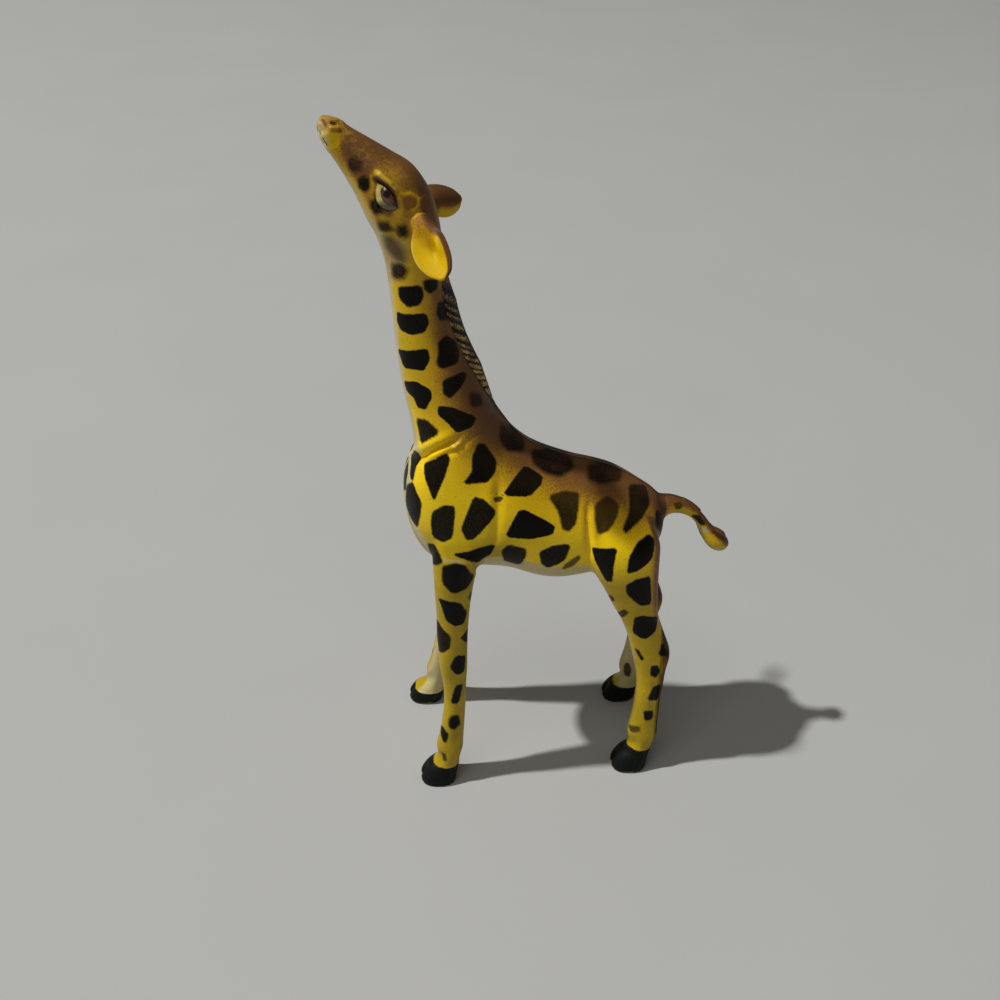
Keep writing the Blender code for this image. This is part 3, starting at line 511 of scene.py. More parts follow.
def bell(distance, width):
    return np.exp(-((distance / width) ** 2))


def trunk_height(share):
    """Height over the floor at a share of the trunk's depth above the belly."""
    return BELLY_HEIGHT + share * TRUNK_DEPTH


def link(made):
    bpy.context.scene.collection.objects.link(made)


def placed(right, up, back, place):
    """The matrix of a camera or a light, from its three axes and its place."""
    return Matrix([[right[k], up[k], back[k], place[k]] for k in range(3)] + [[0, 0, 0, 1]])


# Camera
def camera_axes():
    """Right, up and back of the camera."""
    back = np.array(
        (
            math.cos(CAMERA_TURN) * math.cos(CAMERA_PITCH),
            -math.sin(CAMERA_TURN) * math.cos(CAMERA_PITCH),
            math.sin(CAMERA_PITCH),
        )
    )
    right = unit(np.cross((0.0, 0.0, 1.0), back))
    return right, np.cross(back, right), back


def make_camera():
    data = bpy.data.cameras.new("camera")
    data.sensor_fit = "HORIZONTAL"
    data.sensor_width = SENSOR_WIDTH
    data.lens = FOCAL_PIXELS / PHOTO_PIXELS * SENSOR_WIDTH
    data.clip_start = MM
    made = bpy.data.objects.new("camera", data)
    made.matrix_world = placed(*camera_axes(), CAMERA_PLACE)
    link(made)
    bpy.context.scene.camera = made


def pixel_ray(pixel):
    right, up, back = camera_axes()
    across = (pixel[0] - PHOTO_PIXELS / 2) / FOCAL_PIXELS
    down = (pixel[1] - PHOTO_PIXELS / 2) / FOCAL_PIXELS
    return unit(right * across - up * down - back)


# Lofts
def smoothed(stations, steps):
    """A Catmull-Rom curve through rows of numbers, with steps spans between each two."""
    rows = np.array(stations, float)
    ends = np.vstack((rows[:1], rows, rows[-1:]))
    dense = []
    for p, q, r, s in zip(ends, ends[1:], ends[2:], ends[3:]):
        for k in range(steps):
            t = k / steps
            dense.append(
                0.5
                * (
                    2 * q
                    + (r - p) * t
                    + (2 * p - 5 * q + 4 * r - s) * t**2
                    + (3 * q - p - 3 * r + s) * t**3
                )
            )
    dense.append(rows[-1])
    return np.array(dense)


def section(centre, side, up, sides, power, lean=0.0):
    """Points round a superellipse spanned by two half axes, narrower towards up by the lean."""
    angle = 2 * np.pi * np.arange(sides) / sides
    c = np.cos(angle)
    s = np.sin(angle)
    c = np.sign(c) * np.abs(c) ** (2 / power)
    s = np.sign(s) * np.abs(s) ** (2 / power)
    s = s * (1 - lean * c)
    return centre + np.outer(s, side) + np.outer(c, up)


def loft_mesh(rings):
    """Points and faces of a closed loft, with its faces turned outwards."""
    points = np.concatenate(rings)
    sides = len(rings[0])
    faces = []
    for i in range(len(rings) - 1):
        for k in range(sides):
            after = (k + 1) % sides
            low = i * sides
            faces.append((low + k, low + after, low + sides + after, low + sides + k))
    faces.append(tuple(range(sides))[::-1])
    faces.append(tuple(range(len(points) - sides, len(points))))
    middle = points.mean(0)
    volume = 0.0
    for face in faces:
        a = points[face[0]] - middle
        for k in range(1, len(face) - 1):
            volume += np.dot(a, np.cross(points[face[k]] - middle, points[face[k + 1]] - middle))
    if volume < 0:
        faces = [face[::-1] for face in faces]
    return points, faces


def trunk_station(row):
    return (
        row[0] * TRUNK_LENGTH,
        BELLY_HEIGHT + row[1] * TRUNK_DEPTH,
        row[2] * TRUNK_LENGTH,
        BELLY_HEIGHT + row[3] * TRUNK_DEPTH,
        row[4] * TRUNK_WIDTH,
        row[5],
    )


def neck_foot():
    return np.array((0.0, NECK_BASE_INSET, BELLY_HEIGHT + TRUNK_DEPTH + NECK_BASE_RISE))


def withers_station(row):
    foot = neck_foot()
    return (
        foot[1] + row[0] * NECK_DEPTH,
        foot[2] + row[1] * NECK_DEPTH,
        row[2] * TRUNK_LENGTH,
        BELLY_HEIGHT + row[3] * TRUNK_DEPTH,
        row[4] * TRUNK_WIDTH,
        row[5],
    )


def neck_station(row):
    foot = neck_foot()
    slant = NECK_SEAM_RISE_SHARE * NECK_DEPTH * (1 - row[3])
    return (
        foot[1] + row[0] * NECK_DEPTH,
        foot[2] + slant + row[1] * NECK_LENGTH,
        foot[1] + row[2] * NECK_DEPTH,
        foot[2] + row[3] * NECK_LENGTH,
        row[4] * NECK_WIDTH,
        row[5],
    )


def poll():
    return neck_foot() + np.array((0.0, POLL_SETBACK, NECK_LENGTH))


def head_point(ahead_share, rise_share):
    return poll() + np.array((0.0, -ahead_share * HEAD_REACH, rise_share * HEAD_RISE))


def head_station(row):
    crown = head_point(row[0], row[1])
    jaw = head_point(row[2], row[3])
    return (crown[1], crown[2], jaw[1], jaw[2], row[4] * HEAD_WIDTH, row[5])


STATION_STEPS = 8
TRUNK_ROWS = len(TRUNK_SHARES) + len(WITHERS_SHARES)
NECK_ROWS = len(NECK_SHARES)


def body_stations():
    rows = [trunk_station(row) for row in TRUNK_SHARES]
    rows += [withers_station(row) for row in WITHERS_SHARES]
    rows += [neck_station(row) for row in NECK_SHARES]
    rows += [head_station(row) for row in HEAD_SHARES]
    return smoothed(rows, STATION_STEPS)


def body_rings(stations):
    rings = []
    for top_y, top_z, low_y, low_z, half, lean in stations:
        top = np.array((0.0, top_y, top_z))
        low = np.array((0.0, low_y, low_z))
        side = np.array((half, 0.0, 0.0))
        rings.append(section((top + low) / 2, side, (top - low) / 2, BODY_SIDES, BODY_POWER, lean))
    return rings


class Leg:
    """One leg's line and sizes. side is 1 on the left and -1 on the right."""

    def __init__(self, name, front, side):
        self.name = name
        self.front = front
        self.side = side
        self.hip_back = 0.0
        self.foot_back = 0.0
        if front:
            self.rows = smoothed(FRONT_LEG_SHARES, LEG_STEPS)
            self.height = BELLY_HEIGHT + SHOULDER_RISE
            self.hip_y = FRONT_LEG_SETBACK
            self.sweep = -FRONT_LEG_SWEEP
            self.depth = FRONT_LEG_DEPTH
            self.width = FRONT_LEG_WIDTH
            self.hip_x = SHOULDER_SPACING / 2
            self.foot_x = FRONT_TRACK / 2
            self.foot = FRONT_FOOT_SHARE
            self.seam_z = BELLY_HEIGHT + FRONT_SEAM_RISE
            self.tilt = FRONT_SEAM_TILT
            if side < 0:
                self.foot_back = -RIGHT_FRONT_STEP
        else:
            self.rows = smoothed(HIND_LEG_SHARES, LEG_STEPS)
            self.height = BELLY_HEIGHT + HAUNCH_RISE
            self.hip_y = TRUNK_LENGTH - HIND_LEG_INSET
            self.sweep = HIND_LEG_SWEEP
            self.depth = HIND_LEG_DEPTH
            self.width = HIND_LEG_WIDTH
            self.hip_x = HIP_SPACING / 2
            self.foot_x = HIND_TRACK / 2
            self.foot = HIND_FOOT_SHARE
            self.seam_z = BELLY_HEIGHT + HIND_SEAM_RISE
            self.tilt = HIND_SEAM_TILT
            if side < 0:
                self.hip_back = RIGHT_HIP_BACK
                self.foot_back = RIGHT_HIND_STEP
        self.table = self.size_table()

    def middle(self, z, sweep_share):
        down = 1 - z / self.height
        x = self.side * (self.hip_x + (self.foot_x - self.hip_x) * down)
        back = self.hip_back + (self.foot_back - self.hip_back) * down**2
        y = self.hip_y + self.sweep * sweep_share + back
        return np.stack(np.broadcast_arrays(x, y, z), -1)

    def size_table(self):
        """Rows of height, middle y, half depth and half width, from the sole up."""
        rows = []
        for height, sweep, half_depth, half_width in self.rows:
            z = height * self.height
            rows.append((z, self.middle(z, sweep)[1], half_depth * self.depth, half_width * self.width))
        for height, back, half_length, half_width in smoothed(HOOF_SHARES, HOOF_STEPS):
            z = height * HOOF_HEIGHT
            y = self.middle(z, self.foot)[1] + back * HOOF_LENGTH
            rows.append((z, y, half_length * HOOF_LENGTH, half_width * HOOF_WIDTH))
        return np.array(rows)[::-1]

    def rings(self):
        rings = []
        for z, y, half_depth, half_width in self.table:
            centre = np.array((self.middle(z, 0.0)[0], y, z))
            power = HOOF_POWER if z <= HOOF_HEIGHT else BODY_POWER
            side = np.array((half_width, 0.0, 0.0))
            up = np.array((0.0, half_depth, 0.0))
            rings.append(section(centre, side, up, LEG_SIDES, power))
        return rings

    def at_height(self, z):
        """Middle x and y and half depth and width at heights."""
        x = self.middle(z, 0.0)[..., 0]
        y, depth, width = (np.interp(z, self.table[:, 0], self.table[:, k]) for k in (1, 2, 3))
        return x, y, depth, width

    def outside(self, points):
        """Roughly how far points lie outside the leg's own loft, negative inside."""
        x, y, depth, width = self.at_height(points[:, 2])
        across = np.abs(points[:, 0] - x) / width
        along = np.abs(points[:, 1] - y) / depth
        reach = (across**BODY_POWER + along**BODY_POWER) ** (1 / BODY_POWER)
        over = points[:, 2] - self.height
        return np.maximum((reach - 1) * (width + depth) / 2, over)

    def seam(self):
        share = self.seam_z / self.height
        sweep = np.interp(share, self.rows[::-1, 0], self.rows[::-1, 1])
        normal = np.array((-self.side * math.sin(self.tilt), 0.0, math.cos(self.tilt)))
        return self.middle(self.seam_z, sweep), normal

    def above_seam(self, points):
        point, normal = self.seam()
        return (points - point) @ normal

    def foot_middle(self):
        return self.middle(0.0, self.foot)


def tail_root():
    return np.array((0.0, TRUNK_LENGTH, trunk_height(TAIL_ROOT_SHARE)))


def tail_rings():
    stations = smoothed(TAIL_SHARES, TAIL_STEPS)
    reach = stations[:, 0] * TAIL_REACH
    drop = stations[:, 1] * TAIL_DROP
    root = tail_root()
    centres = np.stack((np.zeros(len(stations)), root[1] + reach, root[2] - drop), 1)
    rings = []
    for k, centre in enumerate(centres):
        line = unit(centres[min(k + 1, len(centres) - 1)] - centres[max(k - 1, 0)])
        radius = stations[k, 2] * TAIL_THICKNESS
        side = np.array((radius, 0.0, 0.0))
        up = np.cross((1.0, 0.0, 0.0), line) * radius
        rings.append(section(centre, side, up, TAIL_SIDES, ROUND_POWER))
    return rings


class Ear:
    """One ear's place and pose. side is 1 on the left and -1 on the right."""

    def __init__(self, name, side, axis, facing):
        self.name = name
        self.side = side
        self.axis = unit(axis)
        self.facing = unit(facing - self.axis * np.dot(facing, self.axis))
        self.across = np.cross(self.facing, self.axis)
        self.root = unit(EAR_ROOT_AXIS * np.array((side, 1.0, 1.0)))
        self.root_across = unit(self.across - self.root * np.dot(self.across, self.root))
        self.root_up = np.cross(self.root, self.root_across)
        head_side = max(HEAD_WIDTH * HEAD_SHARES[0][4], NECK_WIDTH * NECK_SHARES[-1][4])
        seam_z = poll()[2] + HEAD_RISE - EAR_BELOW_CROWN
        self.seam = np.array((side * (head_side + EAR_STANDOFF), poll()[1] + EAR_SETBACK, seam_z))

    def boss_rings(self):
        across = self.root_across * EAR_ROOT_RADIUS
        up = self.root_up * EAR_ROOT_RADIUS
        rings = []
        for part in np.linspace(0.0, 1.0, BOSS_RINGS):
            centre = self.seam - self.root * EAR_BOSS_LENGTH * (1 - part)
            rings.append(section(centre, across, up, BOSS_SIDES, ROUND_POWER))
        return rings


# The joined skin
def joined_skin(parts):
    """One closed surface round all the lofts."""
    points = []
    faces = []
    count = 0
    for part_points, part_faces in parts:
        points.append(part_points)
        faces += [tuple(count + k for k in face) for face in part_faces]
        count += len(part_points)
    mesh = bpy.data.meshes.new("skin_source")
    mesh.from_pydata(np.concatenate(points), [], faces)
    source = bpy.data.objects.new("skin_source", mesh)
    link(source)
    remesh = source.modifiers.new("skin", "REMESH")
    remesh.mode = "VOXEL"
    remesh.voxel_size = SKIN_VOXEL
    graph = bpy.context.evaluated_depsgraph_get()
    solid = bpy.data.meshes.new_from_object(source.evaluated_get(graph))
    bpy.data.objects.remove(source, do_unlink=True)
    points = np.empty(len(solid.vertices) * 3)
    solid.vertices.foreach_get("co", points)
    edges = np.empty(len(solid.edges) * 2, dtype=np.int64)
    solid.edges.foreach_get("vertices", edges)
    solid.calc_loop_triangles()
    triangles = np.empty(len(solid.loop_triangles) * 3, dtype=np.int64)
    solid.loop_triangles.foreach_get("vertices", triangles)
    bpy.data.meshes.remove(solid)
    return points.reshape(-1, 3), edges.reshape(-1, 2), triangles.reshape(-1, 3)


def relaxed(points, edges, weight, rounds):
    """Moves each point towards the mean of its neighbours, by its weight."""
    count = len(points)
    first = edges[:, 0]
    second = edges[:, 1]
    valence = np.bincount(first, minlength=count) + np.bincount(second, minlength=count)
    for _ in range(rounds):
        mean = np.empty_like(points)
        for k in range(3):
            total = np.bincount(first, points[second, k], count)
            total += np.bincount(second, points[first, k], count)
            mean[:, k] = total / valence
        points = points + (mean - points) * weight[:, None]
    return points


def triangle_sides(triangles):
    """The ends of each triangle's three sides, the lower number first."""
    sides = [triangles[:, ends] for ends in ((0, 1), (1, 2), (2, 0))]
    return np.sort(np.concatenate(sides), axis=1)


def refined(points, triangles, chosen):
    """Splits the chosen triangles into four, and their neighbours so that all still meet."""
    unique, number = np.unique(triangle_sides(triangles), axis=0, return_inverse=True)
    number = number.reshape(3, -1).T
    split = np.zeros(len(unique), dtype=bool)
    split[number[chosen].ravel()] = True
    middle = np.full(len(unique), -1)
    middle[split] = len(points) + np.arange(split.sum())
    points = np.concatenate((points, points[unique[split]].mean(1)))
    made = []
    cuts = split[number]
    count = cuts.sum(1)
    made.append(triangles[count == 0])
    whole = count == 3
    a, b, c = triangles[whole].T
    ab, bc, ca = middle[number[whole]].T
    made += [np.stack(corner, 1) for corner in ((a, ab, ca), (ab, b, bc), (ca, bc, c), (ab, bc, ca))]
    for turn in range(3):
        order = [(turn + k) % 3 for k in range(3)]
        one = (count == 1) & cuts[:, order[0]]
        a, b, c = triangles[one][:, order].T
        ab = middle[number[one][:, order[0]]]
        made += [np.stack(corner, 1) for corner in ((a, ab, c), (ab, b, c))]
        two = (count == 2) & ~cuts[:, order[0]]
        a, b, c = triangles[two][:, order].T
        bc = middle[number[two][:, order[1]]]
        ca = middle[number[two][:, order[2]]]
        made += [np.stack(corner, 1) for corner in ((a, b, bc), (a, bc, ca), (ca, bc, c))]
    return points, np.concatenate(made)


def point_normals(points, triangles):
    a, b, c = (points[triangles[:, k]] for k in range(3))
    faces = np.cross(b - a, c - a)
    total = np.zeros_like(points)
    for k in range(3):
        for axis in range(3):
            total[:, axis] += np.bincount(triangles[:, k], faces[:, axis], len(points))
    return total / np.maximum(lengths(total), 1e-20)[:, None]


# How far over the skin a patch may lie from its middle, and where points of it beyond the outline
# are looked for, as shares of the way from its middle
MAX_PATCH_REACH = 13.0 * MM
REACH_PARTS = np.linspace(1.0, 0.3, 29)


class Skin:
    """The whole skin with what is painted on it, one number per point and layer."""

    def __init__(self, points, triangles):
        self.points = points
        self.triangles = triangles
        self.refresh()

    def refresh(self):
        self.normals = point_normals(self.points, self.triangles)

    def push(self, amount):
        self.points = self.points + self.normals * amount[:, None]
        self.refresh()

    def grow_tree(self):
        self.tree = BVHTree.FromPolygons(self.points.tolist(), self.triangles.tolist())

    def cast(self, pixel):
        start = (CAMERA_PLACE - CARRIER_SHIFT).tolist()
        hit, normal, _, _ = self.tree.ray_cast(start, pixel_ray(pixel).tolist())
        if hit is None:
            return None
        return np.array(hit), np.array(normal)

    def reach(self, pixel, middle):
        """The skin's point at a pixel. Beyond the outline it lies further along the same line."""
        pixel = np.array(pixel, float)
        middle = np.array(middle, float)
        start = self.cast(middle)
        for part in REACH_PARTS:
            found = self.cast(middle + (pixel - middle) * part)
            if found is not None and np.linalg.norm(found[0] - start[0]) < MAX_PATCH_REACH:
                point, normal = found
                if part < 1.0:
                    point = point + (point - start[0]) * (1.0 - part) / part
                return point, normal
        return start


# How many points are placed at once, and how much nearness counts against lying in a station's plane
PLACE_CHUNK = 20000
PLACE_PULL = 0.2


def body_places(points, stations):
    """Where points lie on the body's line: station number, and 1 at the back to -1 at the belly."""
    top = np.stack((np.zeros(len(stations)), stations[:, 0], stations[:, 1]), 1)
    low = np.stack((np.zeros(len(stations)), stations[:, 2], stations[:, 3]), 1)
    centre = (top + low) / 2
    half = lengths(top - low) / 2
    up = (top - low) / (2 * half)[:, None]
    line = np.cross(up, (1.0, 0.0, 0.0))
    nearest = np.empty(len(points), dtype=np.int64)
    for start in range(0, len(points), PLACE_CHUNK):
        part = points[start : start + PLACE_CHUNK]
        ahead = np.abs(part @ line.T - np.sum(centre * line, axis=1))
        far = np.sum(part**2, axis=1)[:, None] - 2 * part @ centre.T + np.sum(centre**2, axis=1)
        score = ahead + PLACE_PULL * np.sqrt(np.maximum(far, 0))
        nearest[start : start + PLACE_CHUNK] = np.argmin(score, axis=1)
    rise = np.einsum("ij,ij->i", points - centre[nearest], up[nearest])
    share = np.clip(rise / half[nearest], -1.0, 1.0)
    side = np.abs(points[:, 0]) / np.maximum(stations[nearest, 4] * (1 - stations[nearest, 5] * share), 1e-6)
    reach = (np.abs(rise / half[nearest]) ** BODY_POWER + side**BODY_POWER) ** (1 / BODY_POWER)
    outside = (reach - 1) * (half[nearest] + stations[nearest, 4]) / 2
    return nearest / STATION_STEPS, share, outside, half[nearest]


def outline_distance(points, outline):
    """Signed distance of flat points from a closed outline, negative inside."""
    best = np.full(len(points), np.inf)
    inside = np.zeros(len(points), dtype=bool)
    for a, b in zip(outline, np.roll(outline, -1, axis=0)):
        edge = b - a
        away = points - a
        part = np.clip(away @ edge / max(edge @ edge, 1e-20), 0.0, 1.0)
        best = np.minimum(best, np.linalg.norm(away - part[:, None] * edge, axis=1))
        crosses = (a[1] > points[:, 1]) != (b[1] > points[:, 1])
        rise = edge[1] if abs(edge[1]) > 1e-20 else 1e-20
        meets = a[0] + (points[:, 1] - a[1]) / rise * edge[0]
        inside ^= crosses & (points[:, 0] < meets)
    return np.where(inside, -best, best)


def rounded_outline(outline, share):
    """Cuts each corner of an outline back by a share of its sides."""
    after = np.roll(outline, -1, axis=0)
    cut = outline + (after - outline) * share, after + (outline - after) * share
    return np.stack(cut, 1).reshape(-1, 2)


def line_distance(points, line):
    """Distance of points from an open line, and how far along it from 0 to 1."""
    line = np.array(line)
    best = np.full(len(points), np.inf)
    place = np.zeros(len(points))
    lengths = np.linalg.norm(np.diff(line, axis=0), axis=1)
    total = lengths.sum()
    gone = 0.0
    for a, b, length in zip(line, line[1:], lengths):
        edge = b - a
        away = points - a
        part = np.clip(away @ edge / max(edge @ edge, 1e-20), 0.0, 1.0)
        far = np.linalg.norm(away - part[:, None] * edge, axis=1)
        closer = far < best
        best = np.where(closer, far, best)
        place = np.where(closer, (gone + part * length) / total, place)
        gone += length
    return best, place


MIRROR = np.array((-1.0, 1.0, 1.0))

# Patches: the distance in millimetres beyond which they don't count, how much they are grown, how
# their corners are cut, and how far a flat patch reaches over the curved skin
PATCH_FAR = 2.0
PATCH_SOFTNESS = 0.3
PATCH_GROWTH = 0.2
CORNER_SHARE = 0.13
PATCH_WRAP = -0.05
DECAL_SPREAD = 1.5
DECAL_DEPTH_SHARE = 0.6

# How the far side's patches differ: shift in millimetres, turn in radians and growth
PATCH_SEED = 11
PATCH_SHIFT = 0.9
PATCH_TURN = 0.25
PATCH_GROWTHS = (0.88, 1.08)
MIDDLE_REACH = 1.2 * MM


class Paint:
    """Gathers the patches as distances from their edges."""

    def __init__(self, skin):
        count = len(skin.points)
        self.skin = skin
        self.edge = np.full(count, PATCH_FAR)
        self.soft = np.full(count, PATCH_SOFTNESS)
        self.solid = np.ones(count)
        self.cream = np.zeros(count)
        self.mist = np.zeros(count)
        self.gilt = np.zeros(count)

    def decal(self, place, outline, allowed, far):
        """Points near a place, and their distance in millimetres from an outline laid there."""
        middle, along, across, normal = place
        skin = self.skin
        away = skin.points - middle
        reach = np.abs(outline).max() * DECAL_SPREAD + far * MM
        near = np.flatnonzero(
            allowed
            & (np.abs(away @ normal) < DECAL_DEPTH_SHARE * reach)
            & (lengths(away) < reach)
            & (skin.normals @ normal > PATCH_WRAP)
        )
        flat = np.stack((away[near] @ along, away[near] @ across), 1)
        return near, outline_distance(flat, rounded_outline(outline, CORNER_SHARE)) / MM

    def patch(self, soft, solid, place, outline, allowed):
        """One patch in the plane of its place: a middle point and three axes."""
        near, distance = self.decal(place, outline, allowed, PATCH_FAR)
        distance = distance - PATCH_GROWTH
        closer = distance < self.edge[near]
        chosen = near[closer]
        self.edge[chosen] = distance[closer]
        self.soft[chosen] = soft
        self.solid[chosen] = solid

    def from_pixels(self, pixels):
        """The place and flat outline of a patch that is given in pixels."""
        pixels = np.array(pixels, float)
        middle = pixels.mean(0)
        if self.skin.cast(middle) is None:
            middle = np.mean([pixel for pixel in pixels if self.skin.cast(pixel) is not None], axis=0)
        found = [self.skin.reach(pixel, middle) for pixel in pixels]
        points = np.array([point for point, _ in found])
        normal = unit(np.mean([normal for _, normal in found] + [self.skin.cast(middle)[1]], axis=0))
        centre = points.mean(0)
        along = unit(np.cross((0.0, 0.0, 1.0), normal))
        across = np.cross(normal, along)
        away = points - centre
        return (centre, along, across, normal), np.stack((away @ along, away @ across), 1)


def mirrored(place, shift=(0.0, 0.0), turn=0.0):
    """A patch's place on the other side of the animal, shifted and turned there."""
    middle, along, across, normal = (part * MIRROR for part in place)
    c, s = math.cos(turn), math.sin(turn)
    middle = middle + along * shift[0] + across * shift[1]
    return middle, along * c + across * s, across * c - along * s, normal


def far_leg_offset(legs, front, z):
    """How far behind the near leg the far one stands at a height."""
    near, far = ([leg for leg in legs if leg.front == front and leg.side == s][0] for s in (1, -1))
    return np.array((0.0, far.at_height(z)[1] - near.at_height(z)[1], 0.0))


def paint_patches(skin, legs):
    """All patches of the near side, and the far side's after them, each a little different."""
    paint = Paint(skin)
    vary = np.random.default_rng(PATCH_SEED)
    groups = (
        (NECK_PATCHES, None),
        (BODY_PATCHES, None),
        (HEAD_PATCHES, None),
        (TAIL_PATCHES, None),
        (FRONT_LEG_PATCHES, True),
        (HIND_LEG_PATCHES, False),
    )
    left = skin.points[:, 0] > 0
    everywhere = np.ones(len(left), bool)
    for soft, solid, pixels in INNER_LEG_PATCHES:
        place, outline = paint.from_pixels(pixels)
        paint.patch(soft, solid, place, outline, ~left)
        paint.patch(soft, solid, mirrored(place), outline, left)
    for patches, front in groups:
        for soft, solid, pixels in patches:
            place, outline = paint.from_pixels(pixels)
            shift = vary.uniform(-PATCH_SHIFT, PATCH_SHIFT, 2) * MM
            turn = vary.uniform(-PATCH_TURN, PATCH_TURN)
            grow = vary.uniform(*PATCH_GROWTHS)
            if front is None and place[0][0] <= MIDDLE_REACH:
                paint.patch(soft, solid, place, outline, everywhere)
                continue
            paint.patch(soft, solid, place, outline, left)
            far = mirrored(place, shift, turn)
            if front is not None:
                far = (far[0] + far_leg_offset(legs, front, place[0][2]), *far[1:])
            paint.patch(soft, solid, far, outline * grow, ~left)
    layers = ((CREAM_AND_HIGHLIGHT_PLACES, paint.cream), (MIST_PLACES, paint.mist), (GILT_PLACES, paint.gilt))
    for places, layer in layers:
        for soft, amount, pixels in places:
            place, outline = paint.from_pixels(pixels)
            for one, side in ((place, left), (mirrored(place), ~left)):
                near, distance = paint.decal(one, outline, side, 2 * soft)
                layer[near] = np.maximum(layer[near], amount * smooth_step(-distance, -soft, soft))
    return paint


# Building the skin
def build_skin(legs, ears, stations):
    parts = [body_rings(stations), *(leg.rings() for leg in legs), tail_rings()]
    parts += [ear.boss_rings() for ear in ears]
    points, edges, triangles = joined_skin([loft_mesh(rings) for rings in parts])
    _, _, body_out, _ = body_places(points, stations)
    points = relaxed(points, edges, np.full(len(points), SKIN_SMOOTHING), SKIN_ROUNDS)
    meeting = np.zeros(len(points))
    for leg in legs:
        gap = np.abs(leg.outside(points)) + np.abs(body_out)
        top = smooth_step(points[:, 2], JOIN_FADE_FROM, JOIN_FADE_TO)
        meeting = np.maximum(meeting, bell(gap, JOIN_WIDTH) * top)
    for ear in ears:
        away = lengths(points - (ear.seam - ear.root * EAR_STANDOFF))
        meeting = np.maximum(meeting, bell(away, EAR_JOIN_WIDTH))
    meeting = np.maximum(meeting, bell(lengths(points - tail_root()), TAIL_JOIN_WIDTH))
    points = relaxed(points, edges, JOIN_SMOOTHING * meeting, JOIN_ROUNDS)
    head_from = poll()[2] + HEAD_FINE_FROM
    head = points[:, 2] > head_from
    points, triangles = refined(points, triangles, head[triangles].all(1))
    edges = np.unique(triangle_sides(triangles), axis=0)
    points = relaxed(points, edges, SKIN_SMOOTHING * (points[:, 2] > head_from), HEAD_ROUNDS)
    return Skin(points, triangles)


def clipped(points, triangles, height, layers):
    """The part of a mesh where height is below zero, closed by a flat fan over each opening."""
    below = height < 0
    kept = triangles[below[triangles].all(1)]
    crossing = triangles[below[triangles].any(1) & ~below[triangles].all(1)]
    new_points = {}
    extra_points = []
    extra_layers = []

    def cut(a, b):
        key = (a, b) if a < b else (b, a)
        if key not in new_points:
            part = height[a] / (height[a] - height[b])
            new_points[key] = len(points) + len(extra_points)
            extra_points.append(points[a] + (points[b] - points[a]) * part)
            extra_layers.append(layers[a] + (layers[b] - layers[a]) * part)
        return new_points[key]

    added = []
    rim = {}
    for tri in crossing.tolist():
        for _ in range(3):
            if below[tri[0]] and not below[tri[2]]:
                break
            tri = tri[1:] + tri[:1]
        a, b, c = tri
        if below[b]:
            from_b = cut(b, c)
            from_a = cut(c, a)
            added += [(a, b, from_b), (a, from_b, from_a)]
            rim[from_a] = from_b
        else:
            from_ab = cut(a, b)
            from_ca = cut(c, a)
            added.append((a, from_ab, from_ca))
            rim[from_ca] = from_ab
    every = np.concatenate((points, np.array(extra_points).reshape(-1, 3)))
    every_layer = np.concatenate((layers, np.array(extra_layers).reshape(-1, layers.shape[1])))
    centres = []
    centre_layers = []
    while rim:
        start, at = rim.popitem()
        loop = [start]
        while at != start:
            loop.append(at)
            at = rim.pop(at)
        centre = len(every) + len(centres)
        centres.append(every[loop].mean(0))
        centre_layers.append(every_layer[loop].mean(0))
        added += [(centre, first, second) for first, second in zip(loop, loop[1:] + loop[:1])]
    every = np.concatenate((every, np.array(centres).reshape(-1, 3)))
    every_layer = np.concatenate((every_layer, np.array(centre_layers).reshape(-1, layers.shape[1])))
    faces = np.concatenate((kept, np.array(added, dtype=np.int64).reshape(-1, 3)))
    used = np.unique(faces)
    renumber = np.full(len(every), -1)
    renumber[used] = np.arange(len(used))
    return every[used], renumber[faces], every_layer[used]


def mesh_piece(name, points, triangles, layers, layer_names, coat):
    mesh = bpy.data.meshes.new(name)
    mesh.from_pydata(points + CARRIER_SHIFT, [], triangles)
    for k, layer in enumerate(layer_names):
        made = mesh.attributes.new(layer, "FLOAT", "POINT")
        made.data.foreach_set("value", np.ascontiguousarray(layers[:, k], dtype=np.float32))
    mesh.materials.append(coat)
    mesh.shade_smooth()
    mesh.set_sharp_from_angle(angle=SHARP_ANGLE)
    made = bpy.data.objects.new(name, mesh)
    link(made)
    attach(made, "root")
    return made


# Materials
class Number:
    """A number that varies over a surface. Signs between numbers add the nodes that work them out."""

    def __init__(self, nodes, socket):
        self.nodes = nodes
        self.socket = socket

    def __add__(self, other):
        return self.nodes.math("ADD", self, other)

    def __radd__(self, other):
        return self.nodes.math("ADD", other, self)

    def __sub__(self, other):
        return self.nodes.math("SUBTRACT", self, other)

    def __rsub__(self, other):
        return self.nodes.math("SUBTRACT", other, self)

    def __mul__(self, other):
        return self.nodes.math("MULTIPLY", self, other)

    def __pow__(self, other):
        return self.nodes.math("POWER", self, other)

    def __neg__(self):
        return self * -1.0

    def __abs__(self):
        return self.nodes.math("ABSOLUTE", self)

    def ramp(self, low, high):
        """0 below low and 1 above high, with a smooth step between."""
        inputs = {"Value": self, "From Min": low, "From Max": high}
        return self.nodes.number("ShaderNodeMapRange", inputs, interpolation_type="SMOOTHSTEP")


